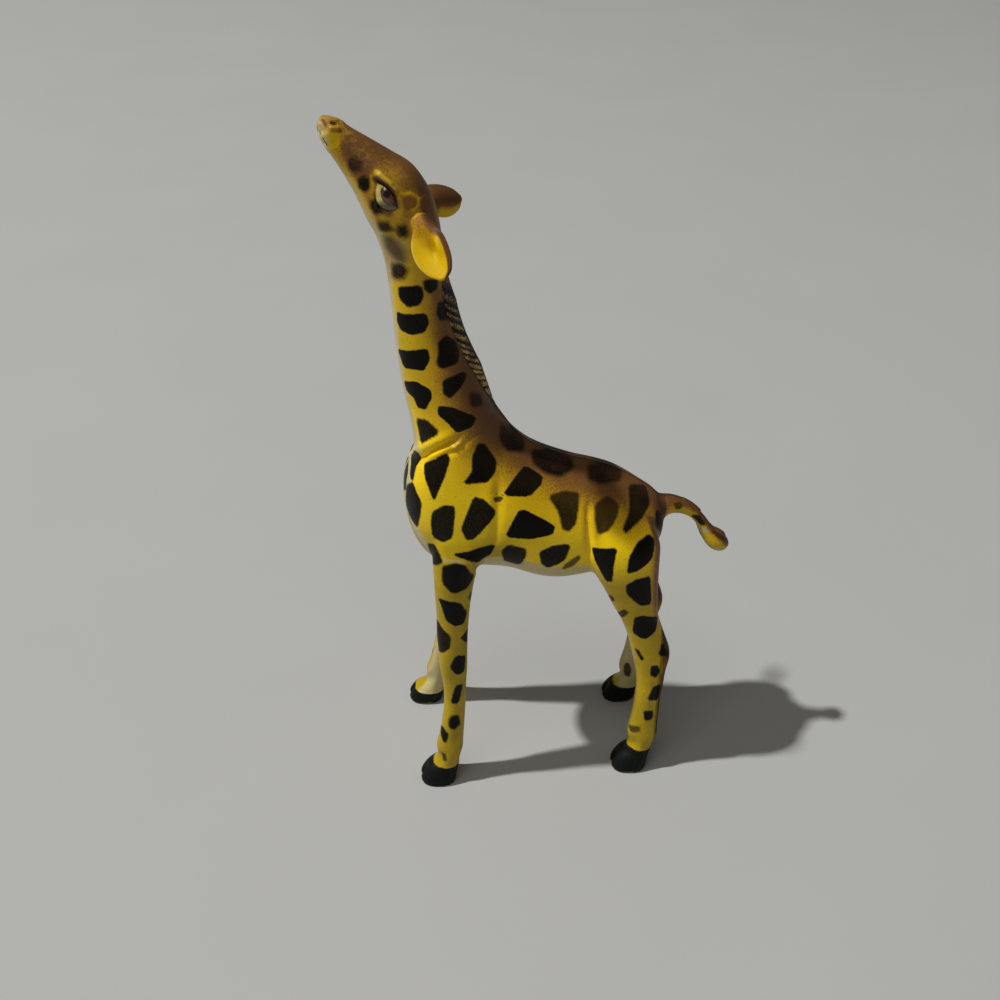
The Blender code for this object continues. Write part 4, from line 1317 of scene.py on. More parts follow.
class Nodes:
    """A small helper to write a material's nodes in few lines."""

    def __init__(self, name):
        self.material = bpy.data.materials.new(name)
        self.material.use_nodes = True
        self.tree = self.material.node_tree
        self.shader = self.tree.nodes["Principled BSDF"]

    def add(self, kind, inputs=(), **settings):
        node = self.tree.nodes.new(kind)
        for key, value in settings.items():
            setattr(node, key, value)
        for key, value in dict(inputs).items():
            self.put(node.inputs[key], value)
        return node

    def put(self, socket, value):
        value = value.socket if isinstance(value, Number) else value
        if isinstance(value, bpy.types.NodeSocket):
            self.tree.links.new(value, socket)
        else:
            socket.default_value = value

    def set(self, name, value):
        self.put(self.shader.inputs[name], value)

    def number(self, kind, inputs=(), output=0, **settings):
        return Number(self, self.add(kind, inputs, **settings).outputs[output])

    def math(self, operation, first, second=0.0):
        return self.number("ShaderNodeMath", {0: first, 1: second}, operation=operation)

    def layer(self, name):
        return self.number("ShaderNodeAttribute", output="Fac", attribute_name=name)

    def place(self):
        return self.add("ShaderNodeTexCoord").outputs["Object"]

    def noise(self, grain, detail=2.0):
        """Noise whose grains are about this size."""
        inputs = {"Vector": self.place(), "Scale": 1 / grain, "Detail": detail}
        return self.number("ShaderNodeTexNoise", inputs, "Fac")

    def blend(self, factor, first, second):
        """From the first colour to the second."""
        return self.add("ShaderNodeMix", {0: factor, 6: first, 7: second}, data_type="RGBA").outputs[2]

    def scalar_blend(self, factor, first, second):
        return self.number("ShaderNodeMix", {0: factor, 2: first, 3: second}, data_type="FLOAT")


# How large the grains of each noise are
GRAIN_SIZE = 0.30 * MM
DROP_SIZE = 0.6 * MM
VEIN_SIZE = 2.2 * MM
CLOUD_SIZE = 3.5 * MM
WIDE_CLOUD_SIZE = 9.0 * MM
MANE_CLOUD_SIZE = 1.6 * MM
EYE_CLOUD_SIZE = 1.2 * MM
FLOOR_CLOUD_SIZE = 60 * MM
CLOUD_DETAIL = 3.0

# Gloss of the paint, of the dull paint over it and of the ears, and the worn soles
COAT_SHEEN = 0.27
DULL_SHEEN = 0.10
EAR_SHEEN = 0.12
BUMP_STRENGTH = 0.30
BUMP_HEIGHT = 0.02 * MM
SOLE_WAVER = 1.2 * MM
SOLE_WORN_FROM = 0.15 * MM
SOLE_WORN_TO = 0.6 * MM

CREAM = (0.66, 0.56, 0.26, 1)
CREAM_DULL = (0.47, 0.39, 0.18, 1)
YELLOW = (1.0, 0.68, 0.003, 1)
# deep yellow, for uneven paint and for painted shade
YELLOW_DEEP_AND_SHADED = (0.40, 0.275, 0.003, 1)
AMBER = (0.74, 0.38, 0.004, 1)
ORANGE_BROWN = (0.34, 0.148, 0.012, 1)
BROWN = (0.165, 0.068, 0.018, 1)
BROWN_DEEP = (0.066, 0.025, 0.011, 1)
GOLD = (0.46, 0.29, 0.035, 1)
PATCH_BLACK = (0.003, 0.003, 0.002, 1)
PATCH_BROWN = (0.042, 0.024, 0.013, 1)
TEMPLE_BROWN = (0.19, 0.060, 0.018, 1)
HOOF_BLACK = (0.006, 0.008, 0.006, 1)
HOOF_GREEN = (0.030, 0.036, 0.022, 1)
HOOF_WORN = (0.26, 0.24, 0.10, 1)
SPECK_BROWN = (0.12, 0.07, 0.01, 1)
MANE_RUST = (0.27, 0.12, 0.05, 1)
MANE_GOLD = (0.66, 0.47, 0.10, 1)
MANE_DARK_AND_GROOVE_SHADE = (0.016, 0.008, 0.005, 1)
EYE_CREAM_DULL = (0.42, 0.33, 0.06, 1)
EYE_CREAM = (0.85, 0.70, 0.19, 1)
IRIS_DARK = (0.09, 0.030, 0.014, 1)
IRIS_LIGHT = (0.30, 0.12, 0.045, 1)
IRIS_RIM = (0.07, 0.034, 0.014, 1)
PUPIL_BLACK = (0.014, 0.004, 0.003, 1)
GLINT_PALE = (0.75, 0.66, 0.50, 1)
EYE_SHADE = (0.06, 0.045, 0.02, 1)
LID_SHADE_BROWN = (0.05, 0.036, 0.014, 1)
FLOOR_DULL = (0.43, 0.43, 0.412, 1)
FLOOR_PALE = (0.455, 0.455, 0.437, 1)
ROOM_COLOUR = (1.0, 0.97, 0.92, 1)


class Coat(Nodes):
    """The figure's paint: yellow over cream plastic, brown overspray, dark patches and hooves."""

    def __init__(self, name, sheen=COAT_SHEEN):
        super().__init__(name)
        self.grain = self.noise(GRAIN_SIZE)
        self.drops = self.noise(DROP_SIZE)
        self.cloud = self.noise(CLOUD_SIZE, CLOUD_DETAIL)
        self.speckle = self.grain - 0.5
        self.waver = self.drops - 0.5
        self.thin = self.layer("yellow") + self.waver * 0.5
        self.mist = self.layer("mist") + self.speckle * 1.5 + (self.cloud - 0.5) * 0.8
        self.veil = self.mist.ramp(-1.0, 0.6)
        cover = self.patch_cover()
        hoof = (self.layer("hoof_edge") + self.speckle * 0.3).ramp(-0.1, 0.1)
        colour = self.blend(cover, self.gilded(self.oversprayed(self.plain_coat())), self.ink())
        # fine dark lines, with painted shadow along the eyelids
        colour = self.blend(self.layer("dark_line_and_lid_shadow").ramp(0.3, 0.75), colour, PATCH_BLACK)
        self.set("Base Color", self.blend(hoof, colour, self.horn()))
        rough = self.scalar_blend(self.veil * 0.8, 0.34 + self.cloud * 0.16, 0.5)
        self.set("Roughness", self.scalar_blend(hoof, rough, 0.5))
        dull = self.math("MAXIMUM", cover, hoof)
        self.set("Specular IOR Level", self.scalar_blend(dull, sheen, DULL_SHEEN))
        height = self.grain + self.cloud * 3.0
        inputs = {"Height": height, "Strength": BUMP_STRENGTH, "Distance": BUMP_HEIGHT}
        self.set("Normal", self.add("ShaderNodeBump", inputs).outputs["Normal"])

    def plain_coat(self):
        """Clouded yellow, deeper where the tone layer lays painted shade, thinner in places over the cream
        plastic, with a few brown specks.
        """
        cream = self.blend(self.cloud, CREAM_DULL, CREAM)
        uneven = (self.noise(WIDE_CLOUD_SIZE) + self.cloud - 1.0) * 0.55
        # deeper yellow from the tone layer's painted shade and from random unevenness
        yellow = self.blend(self.layer("tone") + uneven, YELLOW_DEEP_AND_SHADED, YELLOW)
        colour = self.blend(self.thin.ramp(0.1, 0.85), cream, yellow)
        specks = (self.grain + self.cloud * 0.4).ramp(0.84, 0.92) * 0.5
        return self.blend(specks, colour, SPECK_BROWN)

    def oversprayed(self, colour):
        """A grainy mist, amber at its edge and darker away from it."""
        glow = self.mist.ramp(-2.5, -0.3) * self.thin.ramp(0.2, 0.9)
        colour = self.blend(glow * 0.5, colour, AMBER)
        colour = self.blend(self.veil * 0.85, colour, ORANGE_BROWN)
        brown = self.blend(self.mist.ramp(0.9, 3.2), BROWN, BROWN_DEEP)
        return self.blend(self.mist.ramp(-0.2, 1.2) * 0.97, colour, brown)

    def gilded(self, colour):
        """Gold worn through the brown, in small flecks and veins."""
        vein = abs(self.noise(VEIN_SIZE, CLOUD_DETAIL) - 0.5)
        fleck = self.math("MAXIMUM", (-vein).ramp(-0.045, -0.005), self.drops.ramp(0.52, 0.72))
        return self.blend(fleck * self.layer("gilt") * 0.62, colour, GOLD)

    def thinness(self):
        return (1.0 - self.layer("patch_solid")) ** 1.5

    def patch_cover(self):
        """How much of a patch shows: a soft grainy edge, and less where it is thin or misted over."""
        soft = self.layer("patch_soft")
        thinness = self.thinness()
        edge = self.layer("patch_edge") + self.speckle * soft * 0.75 + self.waver * 0.28
        inside = (-edge).ramp(soft * -0.8, soft * 0.6)
        cover = inside * (1.0 - self.grain.ramp(0.48, 0.72) * (thinness * 0.35))
        faint = thinness * thinness * self.layer("patch_solid")
        cover = cover * (1.0 - faint * 1.8)
        veiled = self.veil * (0.02 + thinness * 0.5) + self.mist.ramp(0.8, 2.4) * 0.40
        return cover * (1.0 - veiled)

    def ink(self):
        """The patches' own colour, browner where their paint is thin."""
        tone = self.thinness() + (self.cloud - 0.5) * 0.25
        ink = self.blend(tone.ramp(0.0, 0.55), PATCH_BLACK, PATCH_BROWN)
        ink = self.blend(self.grain.ramp(0.5, 0.75) * 0.25, ink, PATCH_BROWN)
        return self.blend(tone.ramp(0.6, 0.9), ink, TEMPLE_BROWN)

    def horn(self):
        """The hooves' paint, scuffed green and worn off along the soles."""
        height = self.number("ShaderNodeSeparateXYZ", {0: self.place()}, "Z")
        low = (height + self.waver * SOLE_WAVER).ramp(SOLE_WORN_FROM, SOLE_WORN_TO)
        horn = self.blend(self.drops.ramp(0.56, 0.72) * 0.35, HOOF_BLACK, HOOF_GREEN)
        return self.blend((1.0 - low) * self.cloud.ramp(0.42, 0.60), horn, HOOF_WORN)


LAYERS = (
    "yellow",
    "patch_edge",
    "patch_soft",
    "patch_solid",
    "mist",
    "dark_line_and_lid_shadow",
    "hoof_edge",
    "gilt",
    "tone",
)

# Carved lines, in the photograph's pixels: how high in millimetres, how wide, and the line. Each is
# made on both sides of the animal.
CARVED_LINES = (
    # fold at the base of the neck: its bulge, the crease under it, the lip below and a wavy burr
    (0.50, 0.95, ((414, 452), (418, 450), (426, 446), (436, 441), (447, 436.5), (456, 432.5))),
    (
        -0.62,
        0.42,
        ((419, 459), (425, 456.7), (430.6, 452.5), (438, 448.5), (446, 445), (453.9, 441), (460, 436.5)),
    ),
    (0.22, 0.6, ((423, 462), (434, 456.5), (446, 450), (455, 446), (463, 440.5))),
    (0.32, 0.17, ((451.5, 448.2), (453.5, 446), (455.5, 446.8), (457.5, 444), (459.5, 444), (461.5, 441.2))),
    # groove behind the shoulder, and the elbow under it
    (-0.38, 1.0, ((498, 478), (498.5, 497), (497, 520), (495, 540), (488, 549))),
    (0.18, 1.6, ((490, 478), (489, 500), (486, 525))),
    # front edge of the thigh
    (-0.55, 0.7, ((589.5, 500), (588.5, 512), (588.5, 530), (589.3, 548), (588, 562))),
    (0.32, 1.1, ((594.5, 504), (593.5, 520), (593.5, 538), (595.5, 552))),
    # upper lid, lower lid and the fold behind the eye
    (0.46, 0.44, ((376.6, 172.4), (380.5, 174.8), (384.3, 178.6), (389.4, 182.8), (394.4, 186.6))),
    (-0.26, 0.30, ((374.6, 179.5), (380.2, 182.3), (387, 185.5), (391.9, 191.6), (395.2, 199), (395.6, 206))),
    (0.26, 0.32, ((374.8, 198), (377.8, 206.6), (382.2, 211), (389.4, 212.4), (396, 209.6))),
    (0.20, 0.8, ((398, 192), (399.5, 201), (399, 211))),
    (0.16, 0.5, ((404, 194.5), (411, 194), (417.5, 198), (418, 205), (411, 211))),
    # mouth and lips
    (-0.30, 0.22, ((320.4, 133), (323.5, 138.7), (326.8, 144.6))),
    (-0.22, 0.20, ((318.2, 126), (318.2, 132), (319.2, 138.7), (321.2, 144))),
    (0.45, 1.3, ((321.5, 131), (324.5, 138), (329, 146), (334, 154))),
    # nostril and its rims
    (-0.55, 0.34, ((331.6, 123.4), (334.5, 122.8), (338.0, 123.6))),
    (0.24, 0.35, ((329, 127.4), (334, 128.2), (340, 128.6))),
    (0.16, 0.35, ((335, 119.8), (340, 120.8), (345, 123.4))),
    # cheek and jaw
    (0.20, 1.4, ((352, 168), (362, 185), (371, 202), (384, 222))),
    (-0.12, 0.8, ((346, 150), (358, 164), (367, 176))),
)
# The taper at a carved line's ends: over which share of it, and what is left of it there
TAPER_SHARE = 0.18
TAPER_LEFT = 0.25

CREASE_DEPTH = 0.38 * MM
HAUNCH_DIP = 1.5 * MM
HAUNCH_DIP_WIDTH = 4.6 * MM
HAUNCH_DIP_PLACE = np.array((-8.0, 46.0, 64.5)) * MM

# The fold at the neck's base, its crease and its lip: how high, where over the seam, and how wide
FOLD_HEIGHT = 0.34 * MM
FOLD_PLACE = 0.95 * MM
FOLD_WIDTH = 0.8 * MM
CREASE_PLACE = -0.05 * MM
CREASE_WIDTH = 0.4 * MM
LIP_HEIGHT = 0.4 * FOLD_HEIGHT
LIP_PLACE = -1.3 * MM
LIP_WIDTH = 0.7 * MM
FOLD_SHARE = 0.22
BODY_SKIN_REACH = 2.5 * MM

DORSAL_HEIGHT = 0.28 * MM
DORSAL_WIDTH = 0.5 * MM
PARTING_HEIGHT = 0.10 * MM
PARTING_WIDTH = 0.22 * MM
HOOF_STEP = 0.16 * MM
LEG_SKIN_REACH = 1.2 * MM
LEG_SKIN_TOP = BELLY_HEIGHT + 3 * MM
FRONT_KNEE_HEIGHT = 30.0 * MM
HOCK_HEIGHT = 29.0 * MM
KNEE_BULGE = 0.22 * MM
KNEE_LENGTH = 3.0 * MM
FETLOCK_HEIGHT = 9.0 * MM
FETLOCK_LENGTH = 1.8 * MM
TENDON_DEPTH = 0.16 * MM
TENDON_FROM = (10 * MM, 14 * MM)
TENDON_TO = (22 * MM, 26 * MM)
PASTERN_DEPTH = 0.95 * MM
PASTERN_HEIGHT = 6.8 * MM
PASTERN_LENGTH = 2.0 * MM
BELLY_TUCK = 1.1 * MM
BELLY_TUCK_PLACE = 0.40 * TRUNK_LENGTH
BELLY_TUCK_LENGTH = 7.0 * MM
BELLY_TUCK_FLOOR = BELLY_HEIGHT - 2 * MM
BELLY_TUCK_REACH = 1.5 * MM
EYE_SOCKET = (385.5, 196.0)
SOCKET_DEPTH = 0.40 * MM
SOCKET_RADIUS = 2.2 * MM


def neck_seam():
    """The seam's middle and its normal, which points up the neck."""
    base = neck_station(NECK_SHARES[0])
    nape = np.array((0.0, base[0], base[1]))
    throat = np.array((0.0, base[2], base[3]))
    return (nape + throat) / 2, unit(np.cross((1.0, 0.0, 0.0), nape - throat))


def tail_seam_height(points):
    return TRUNK_LENGTH - TAIL_SEAM_INSET - points[:, 1]


def surface_line(skin, pixels):
    """The line on the skin under some pixels, without those that miss it, on the near side."""
    hits = [skin.cast(pixel) for pixel in pixels]
    line = np.array([hit[0] for hit in hits if hit is not None])
    line[:, 0] = np.abs(line[:, 0])
    return line


def onto_near_side(points):
    return np.abs(points * (1.0, 0.0, 0.0)) + points * (0.0, 1.0, 1.0)


def near_line(points, line, width):
    """Distance from a line for the points near it, for both sides of the animal at once."""
    folded = onto_near_side(points)
    reach = 3.0 * width
    low = line.min(0) - reach
    high = line.max(0) + reach
    near = np.flatnonzero(((folded > low) & (folded < high)).all(1))
    distance, place = line_distance(folded[near], line)
    return near, distance, place


def neck_fold(points, share):
    """The fold where the neck was pressed onto the trunk, fainter towards the nape."""
    point, normal = neck_seam()
    rise = (points - point) @ normal
    fold = FOLD_HEIGHT * bell(rise - FOLD_PLACE, FOLD_WIDTH)
    fold = fold - CREASE_DEPTH * bell(rise - CREASE_PLACE, CREASE_WIDTH)
    fold += LIP_HEIGHT * bell(rise - LIP_PLACE, LIP_WIDTH)
    at_nape = smooth_step(share, 0.35, 0.95)
    return FOLD_SHARE * fold * (1 - 0.85 * at_nape) * (points[:, 2] > trunk_height(0.7))


def carve(skin, legs, stations):
    """Pushes the skin in and out along its normals."""
    skin.grow_tree()
    push = np.zeros(len(skin.points))
    for height, width, pixels in CARVED_LINES:
        width = width * MM
        near, distance, place = near_line(skin.points, surface_line(skin, pixels), width)
        taper = np.clip(np.minimum(place, 1 - place) / TAPER_SHARE, 0.0, 1.0)
        taper = np.where(distance < 3 * width, TAPER_LEFT + (1 - TAPER_LEFT) * taper, 0.0)
        push[near] += height * MM * bell(distance, width) * taper
    points = skin.points
    _, share, out, _ = body_places(points, stations)
    on_body = np.abs(out) < BODY_SKIN_REACH
    push += neck_fold(points, share)
    # ridge along the back and the parting line under the throat and chest
    back = on_body & (share > 0.75) & (points[:, 2] < poll()[2] - 0.5 * NECK_LENGTH)
    push += DORSAL_HEIGHT * bell(points[:, 0], DORSAL_WIDTH) * back
    push += PARTING_HEIGHT * bell(points[:, 0], PARTING_WIDTH) * (on_body & (share < -0.8))
    # the belly is drawn up behind the front legs
    drawn = smooth_step(-share, 0.2, 0.85) * bell(points[:, 1] - BELLY_TUCK_PLACE, BELLY_TUCK_LENGTH)
    push -= BELLY_TUCK * drawn * (points[:, 2] > BELLY_TUCK_FLOOR) * (np.abs(out) < BELLY_TUCK_REACH)
    # the far haunch stays under the outline of the croup
    push -= HAUNCH_DIP * bell(lengths(points - HAUNCH_DIP_PLACE), HAUNCH_DIP_WIDTH)
    # eye sockets
    socket = skin.cast(EYE_SOCKET)[0]
    push -= SOCKET_DEPTH * bell(lengths(onto_near_side(points) - socket), SOCKET_RADIUS)
    for leg in legs:
        push += leg_forms(skin, leg)
    skin.push(push)
    for leg in legs:
        cut_cleft(skin, leg)
    skin.points[:, 2] = np.maximum(skin.points[:, 2], 0.0)
    skin.refresh()


def on_leg(skin, leg):
    return (leg.outside(skin.points) < LEG_SKIN_REACH) & (skin.points[:, 2] < LEG_SKIN_TOP)


def leg_forms(skin, leg):
    """Knee or hock, fetlock, tendons and the hoof's edge."""
    points = skin.points
    z = points[:, 2]
    _, y, depth, _ = leg.at_height(z)
    along = (points[:, 1] - y) / depth
    ahead = smooth_step(-along, 0.0, 0.8)
    behind = smooth_step(along, 0.0, 0.8)
    knee = FRONT_KNEE_HEIGHT if leg.front else HOCK_HEIGHT
    forward, rear = (1.0, 0.35) if leg.front else (0.25, 1.2)
    form = KNEE_BULGE * bell(z - knee, KNEE_LENGTH) * (forward * ahead + rear * behind)
    form += KNEE_BULGE * bell(z - FETLOCK_HEIGHT, FETLOCK_LENGTH) * behind
    cannon = smooth_step(z, *TENDON_FROM) * smooth_step(-z, -TENDON_TO[1], -TENDON_TO[0])
    form -= TENDON_DEPTH * bell(along - 0.35, 0.25) * cannon
    form -= PASTERN_DEPTH * bell(z - PASTERN_HEIGHT, PASTERN_LENGTH) * smooth_step(-along, -0.1, 0.7)
    form += HOOF_STEP * smooth_step(hoof_edge(points, leg), -0.25, 0.05)
    return form * on_leg(skin, leg)


# Height of the hoof's paint at its side, and how much higher it goes at the front
HOOF_LINES = {
    "left_front_leg": (4.9 * MM, 0.0 * MM),
    "right_front_leg": (3.3 * MM, 0.2 * MM),
    "left_hind_leg": (5.9 * MM, 0.0 * MM),
    "right_hind_leg": (4.5 * MM, -0.4 * MM),
}


def hoof_edge(points, leg):
    """Millimetres below the slanting line where the hoof begins."""
    foot = leg.foot_middle()
    back = np.clip((points[:, 1] - foot[1]) / HOOF_LENGTH + 0.5, 0.0, 1.0)
    side, front = HOOF_LINES[leg.name]
    line = side + front * (1 - back) ** 3
    return (line - points[:, 2]) / MM


def cut_cleft(skin, leg):
    """Parts the two toes at the front of the hoof."""
    foot = leg.foot_middle()
    points = skin.points
    ahead = smooth_step(foot[1] - points[:, 1], 0.18 * HOOF_LENGTH, 0.42 * HOOF_LENGTH)
    low = smooth_step(-points[:, 2], -0.85 * HOOF_HEIGHT, -0.35 * HOOF_HEIGHT)
    near = lengths(points[:, :2] - foot[:2]) < HOOF_LENGTH
    deep = CLEFT_DEPTH * bell(points[:, 0] - foot[0], CLEFT_WIDTH) * ahead * low * near
    skin.points = points + np.outer(deep, (0.0, 1.0, 0.0))


# Where the painted layers begin and end
LEG_PAINT_REACH = 1.0 * MM
LEG_PAINT_TOP = BELLY_HEIGHT + 10 * MM
LEG_PAINT_BACK = TRUNK_LENGTH + 1 * MM
JAW_CREAM = (-8 * MM, 2 * MM)
FRONT_CREAM_HEIGHTS = (22 * MM, 32 * MM)
REAR_MIST_HEIGHTS = (27 * MM, 46 * MM)
OVERSPRAY_FADE = 3.2 * MM
MIST_NONE = -3.0
MIST_MOST = 4.0
TAIL_ROOT_MIST = 3.6 * MM
TAIL_MIST_FADE = 3 * MM
HOOF_FAR = 2.0
# heights up the neck over which painted shade deepens its yellow, and the tail's shaded tone
NECK_SHADE_HEIGHTS = (4 * MM, 18 * MM)
TAIL_SHADED_TONE = 0.35

# Half widths of the dark lines on the body's middle, at which they have faded
DORSAL_LINE = 1.0 * MM
TAIL_LINE = 0.7 * MM
CHEST_LINE = 0.5 * MM
THROAT_LINE = 0.8 * MM
MANE_LINE = 2.6 * MM
MANE_LINE_FROM = 9 * MM
MANE_LINE_TO = -2 * MM


class Places:
    """Where each point of the skin lies on the animal."""

    def __init__(self, skin, legs, stations):
        self.points = skin.points
        self.normals = skin.normals
        self.z = skin.points[:, 2]
        self.aside = np.abs(skin.points[:, 0])
        self.place, self.share, out, self.half = body_places(skin.points, stations)
        outside = np.stack([leg.outside(skin.points) for leg in legs], 1)
        self.nearest = outside.argmin(1)
        self.leg = (outside.min(1) < np.minimum(out, LEG_PAINT_REACH)) | (self.z < 0.8 * BELLY_HEIGHT)
        self.leg &= self.z < LEG_PAINT_TOP
        self.leg &= skin.points[:, 1] < LEG_PAINT_BACK
        self.side = np.array([leg.side for leg in legs])[self.nearest]
        self.hind = np.isin(self.nearest, [k for k, leg in enumerate(legs) if not leg.front])
        self.tail = skin.points[:, 1] > TRUNK_LENGTH


def yellow_layer(at, paint):
    """The yellow's cover. Cream shows at belly, throat and jaw and on the legs' inner sides."""
    under = smooth_step(-at.normals[:, 2], 0.05, 0.6) * (at.share < -0.4) * (at.z < trunk_height(0.4))
    throat = 0.85 * smooth_step(-at.share, 0.74, 0.95) * (at.z > trunk_height(0.3))
    jaw_from, jaw_to = (poll()[2] + rise for rise in JAW_CREAM)
    jaw = 0.55 * smooth_step(-at.share, 0.5, 0.85) * smooth_step(at.z, jaw_from, jaw_to)
    body = np.maximum(np.maximum(under, throat), jaw)
    ahead = np.maximum(-at.normals[:, 1], 0.0) * smooth_step(at.z, *FRONT_CREAM_HEIGHTS)
    turned = (0.62 + 0.45 * at.hind) * ahead - at.side * at.normals[:, 0]
    inner = 0.85 * smooth_step(turned, -0.10, 0.75)
    return 1.0 - np.where(at.leg, inner, body) - paint.cream


def mist_layer(at, skin, stations, paint):
    """The brown overspray, measured back from its lower edge, with painted shade along the eyelids."""
    edge = []
    for pixel in OVERSPRAY_EDGE:
        place, share, _, _ = body_places(skin.cast(pixel)[0][None], stations)
        edge.append((place[0], share[0]))
    edge = np.array(sorted(edge))
    limit = np.interp(at.place, edge[:, 0], edge[:, 1])
    mist = (at.share - limit) * at.half / OVERSPRAY_FADE
    rear = smooth_step(at.normals[:, 1], 0.15, 0.8) * smooth_step(at.z, *REAR_MIST_HEIGHTS) * at.hind
    mist = np.where(at.leg, MIST_NONE, mist)
    mist = np.maximum(mist, rear * 3.9 + MIST_NONE)
    mist = np.maximum(mist, 1.5 * smooth_step(paint.mist, 0.0, 0.4) + MIST_NONE) + paint.mist
    # lines of more or less mist, and painted shade along the eyelids
    for width, amount, pixels in MIST_AND_LID_SHADE_LINES:
        near, distance, _ = near_line(at.points, surface_line(skin, pixels), width * MM)
        mist[near] += amount * bell(distance, width * MM)
    mist += 4.0 * bell(lengths(at.points - tail_root()), TAIL_ROOT_MIST)
    on_tail = (at.normals[:, 2] + 0.7 * at.normals[:, 1] - 0.46) * 2.8
    on_tail += 0.6 * smooth_step(TRUNK_LENGTH - at.points[:, 1], -TAIL_MIST_FADE, 0.0)
    return np.clip(np.where(at.tail, on_tail, mist), MIST_NONE, MIST_MOST)


def dark_and_lid_shadow_layer(at, skin):
    """Dark lines: along the back, down the throat, at the mane's foot and in the face, with painted shadow
    along the eyelids.
    """
    back = (at.share > 0.8) & ~at.leg & (at.z < trunk_height(1.9))
    width = np.where(at.tail, TAIL_LINE, DORSAL_LINE)
    dark = np.where(back, 0.66 - 0.66 * at.aside / width, 0.0)
    throat = (at.share < -0.9) & ~at.leg & (at.z > trunk_height(0.3))
    dark = np.where(throat, 0.62 - at.aside / THROAT_LINE, dark)
    over_foot = at.z > neck_foot()[2] + MANE_LINE_FROM
    mane = (at.share > 0.8) & over_foot & (at.z < poll()[2] + MANE_LINE_TO)
    dark = np.where(mane, 1.15 - at.aside / MANE_LINE, dark)
    for width, pixels in DARK_LINES_AND_LID_SHADOWS:
        near, distance, _ = near_line(at.points, surface_line(skin, pixels), width * MM)
        dark[near] = np.maximum(dark[near], 1 - distance / (2 * width * MM))
    return np.clip(dark, 0.0, 1.0)


def hoof_layer(at, legs):
    hoof = np.full(len(at.z), -HOOF_FAR)
    for k, leg in enumerate(legs):
        mine = (at.nearest == k) & (at.z < 2.4 * HOOF_HEIGHT)
        hoof = np.where(mine, hoof_edge(at.points, leg), hoof)
    return np.clip(hoof, -HOOF_FAR, HOOF_FAR)


def tone_and_shade_layer(at):
    """The yellow is fullest on the upper flanks, and deeper lower down, on the neck, the head and down the
    legs: partly the paint's own depth, partly painted shade where less light falls.
    """
    ahead = smooth_step(-at.points[:, 1], -0.48 * TRUNK_LENGTH, -0.32 * TRUNK_LENGTH)
    rise = (at.z - BELLY_HEIGHT) / TRUNK_DEPTH
    # painted shade: deeper yellow lower on the trunk and at the shoulder
    tone = 0.15 + 0.85 * smooth_step(rise - 0.30 * ahead, 0.0, 0.42)
    tone *= 1 - ahead * (0.62 - 0.5 * smooth_step(rise, 0.35, 0.8))
    neck_from, neck_to = (neck_foot()[2] + height for height in NECK_SHADE_HEIGHTS)
    tone *= 1 - 0.6 * smooth_step(at.z, neck_from, neck_to)
    return np.where(at.tail, TAIL_SHADED_TONE, tone)


def paint_skin(skin, legs, stations):
    """All painted layers of the skin, one column each."""
    skin.grow_tree()
    at = Places(skin, legs, stations)
    paint = paint_patches(skin, legs)
    chest = (at.share < -0.7) & ~at.leg & (at.z > trunk_height(0.1))
    parting = np.where(chest, 0.7 - at.aside / CHEST_LINE, -1.0)
    columns = (
        yellow_layer(at, paint),
        np.maximum(paint.edge, parting),
        paint.soft,
        paint.solid,
        mist_layer(at, skin, stations, paint),
        dark_and_lid_shadow_layer(at, skin),
        hoof_layer(at, legs),
        paint.gilt,
        tone_and_shade_layer(at),
    )
    return np.stack(columns, 1)


# How far outside a leg's own loft the skin below its seam still belongs to it
LEG_CUT_REACH = 0.9 * MM


def cut_pieces(skin, legs, layers, coats):
    """Cuts the skin at the glued seams into closed pieces."""
    points = skin.points
    point, normal = neck_seam()
    heights = {"head_and_neck": -((points - point) @ normal)}
    for leg in legs:
        heights[leg.name] = np.maximum(leg.above_seam(points), leg.outside(points) - LEG_CUT_REACH)
    heights["tail"] = tail_seam_height(points)
    heights["torso"] = -np.min(np.stack(list(heights.values())), axis=0)
    made = []
    for name, height in heights.items():
        height = np.where(np.abs(height) < 1e-9, 1e-9, height)
        part_points, triangles, part_layers = clipped(points, skin.triangles, height, layers)
        piece = mesh_piece(name + "_skin", part_points, triangles, part_layers, LAYERS, coats[name])
        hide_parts(name)
        made.append(piece)
    return made


# Ears
EAR_RINGS = 48
EAR_RIM_SIDES = 56
EAR_OUTLINE_STEPS = 8
EAR_BEND = 1.0 * MM
EAR_RELIEF = 0.6 * MM
EAR_OPEN_SHARE = 0.24
EAR_ROOT_SHARE = 0.04
EAR_RIM_ANGLES = 2 * np.pi * np.arange(EAR_RIM_SIDES) / EAR_RIM_SIDES
EAR_ACROSS = np.cos(EAR_RIM_ANGLES)
EAR_OVER = np.sin(EAR_RIM_ANGLES)


def ear_crease(share):
    return bell(EAR_ACROSS - 0.10, 0.16) * bell(share - 0.42, 0.16)


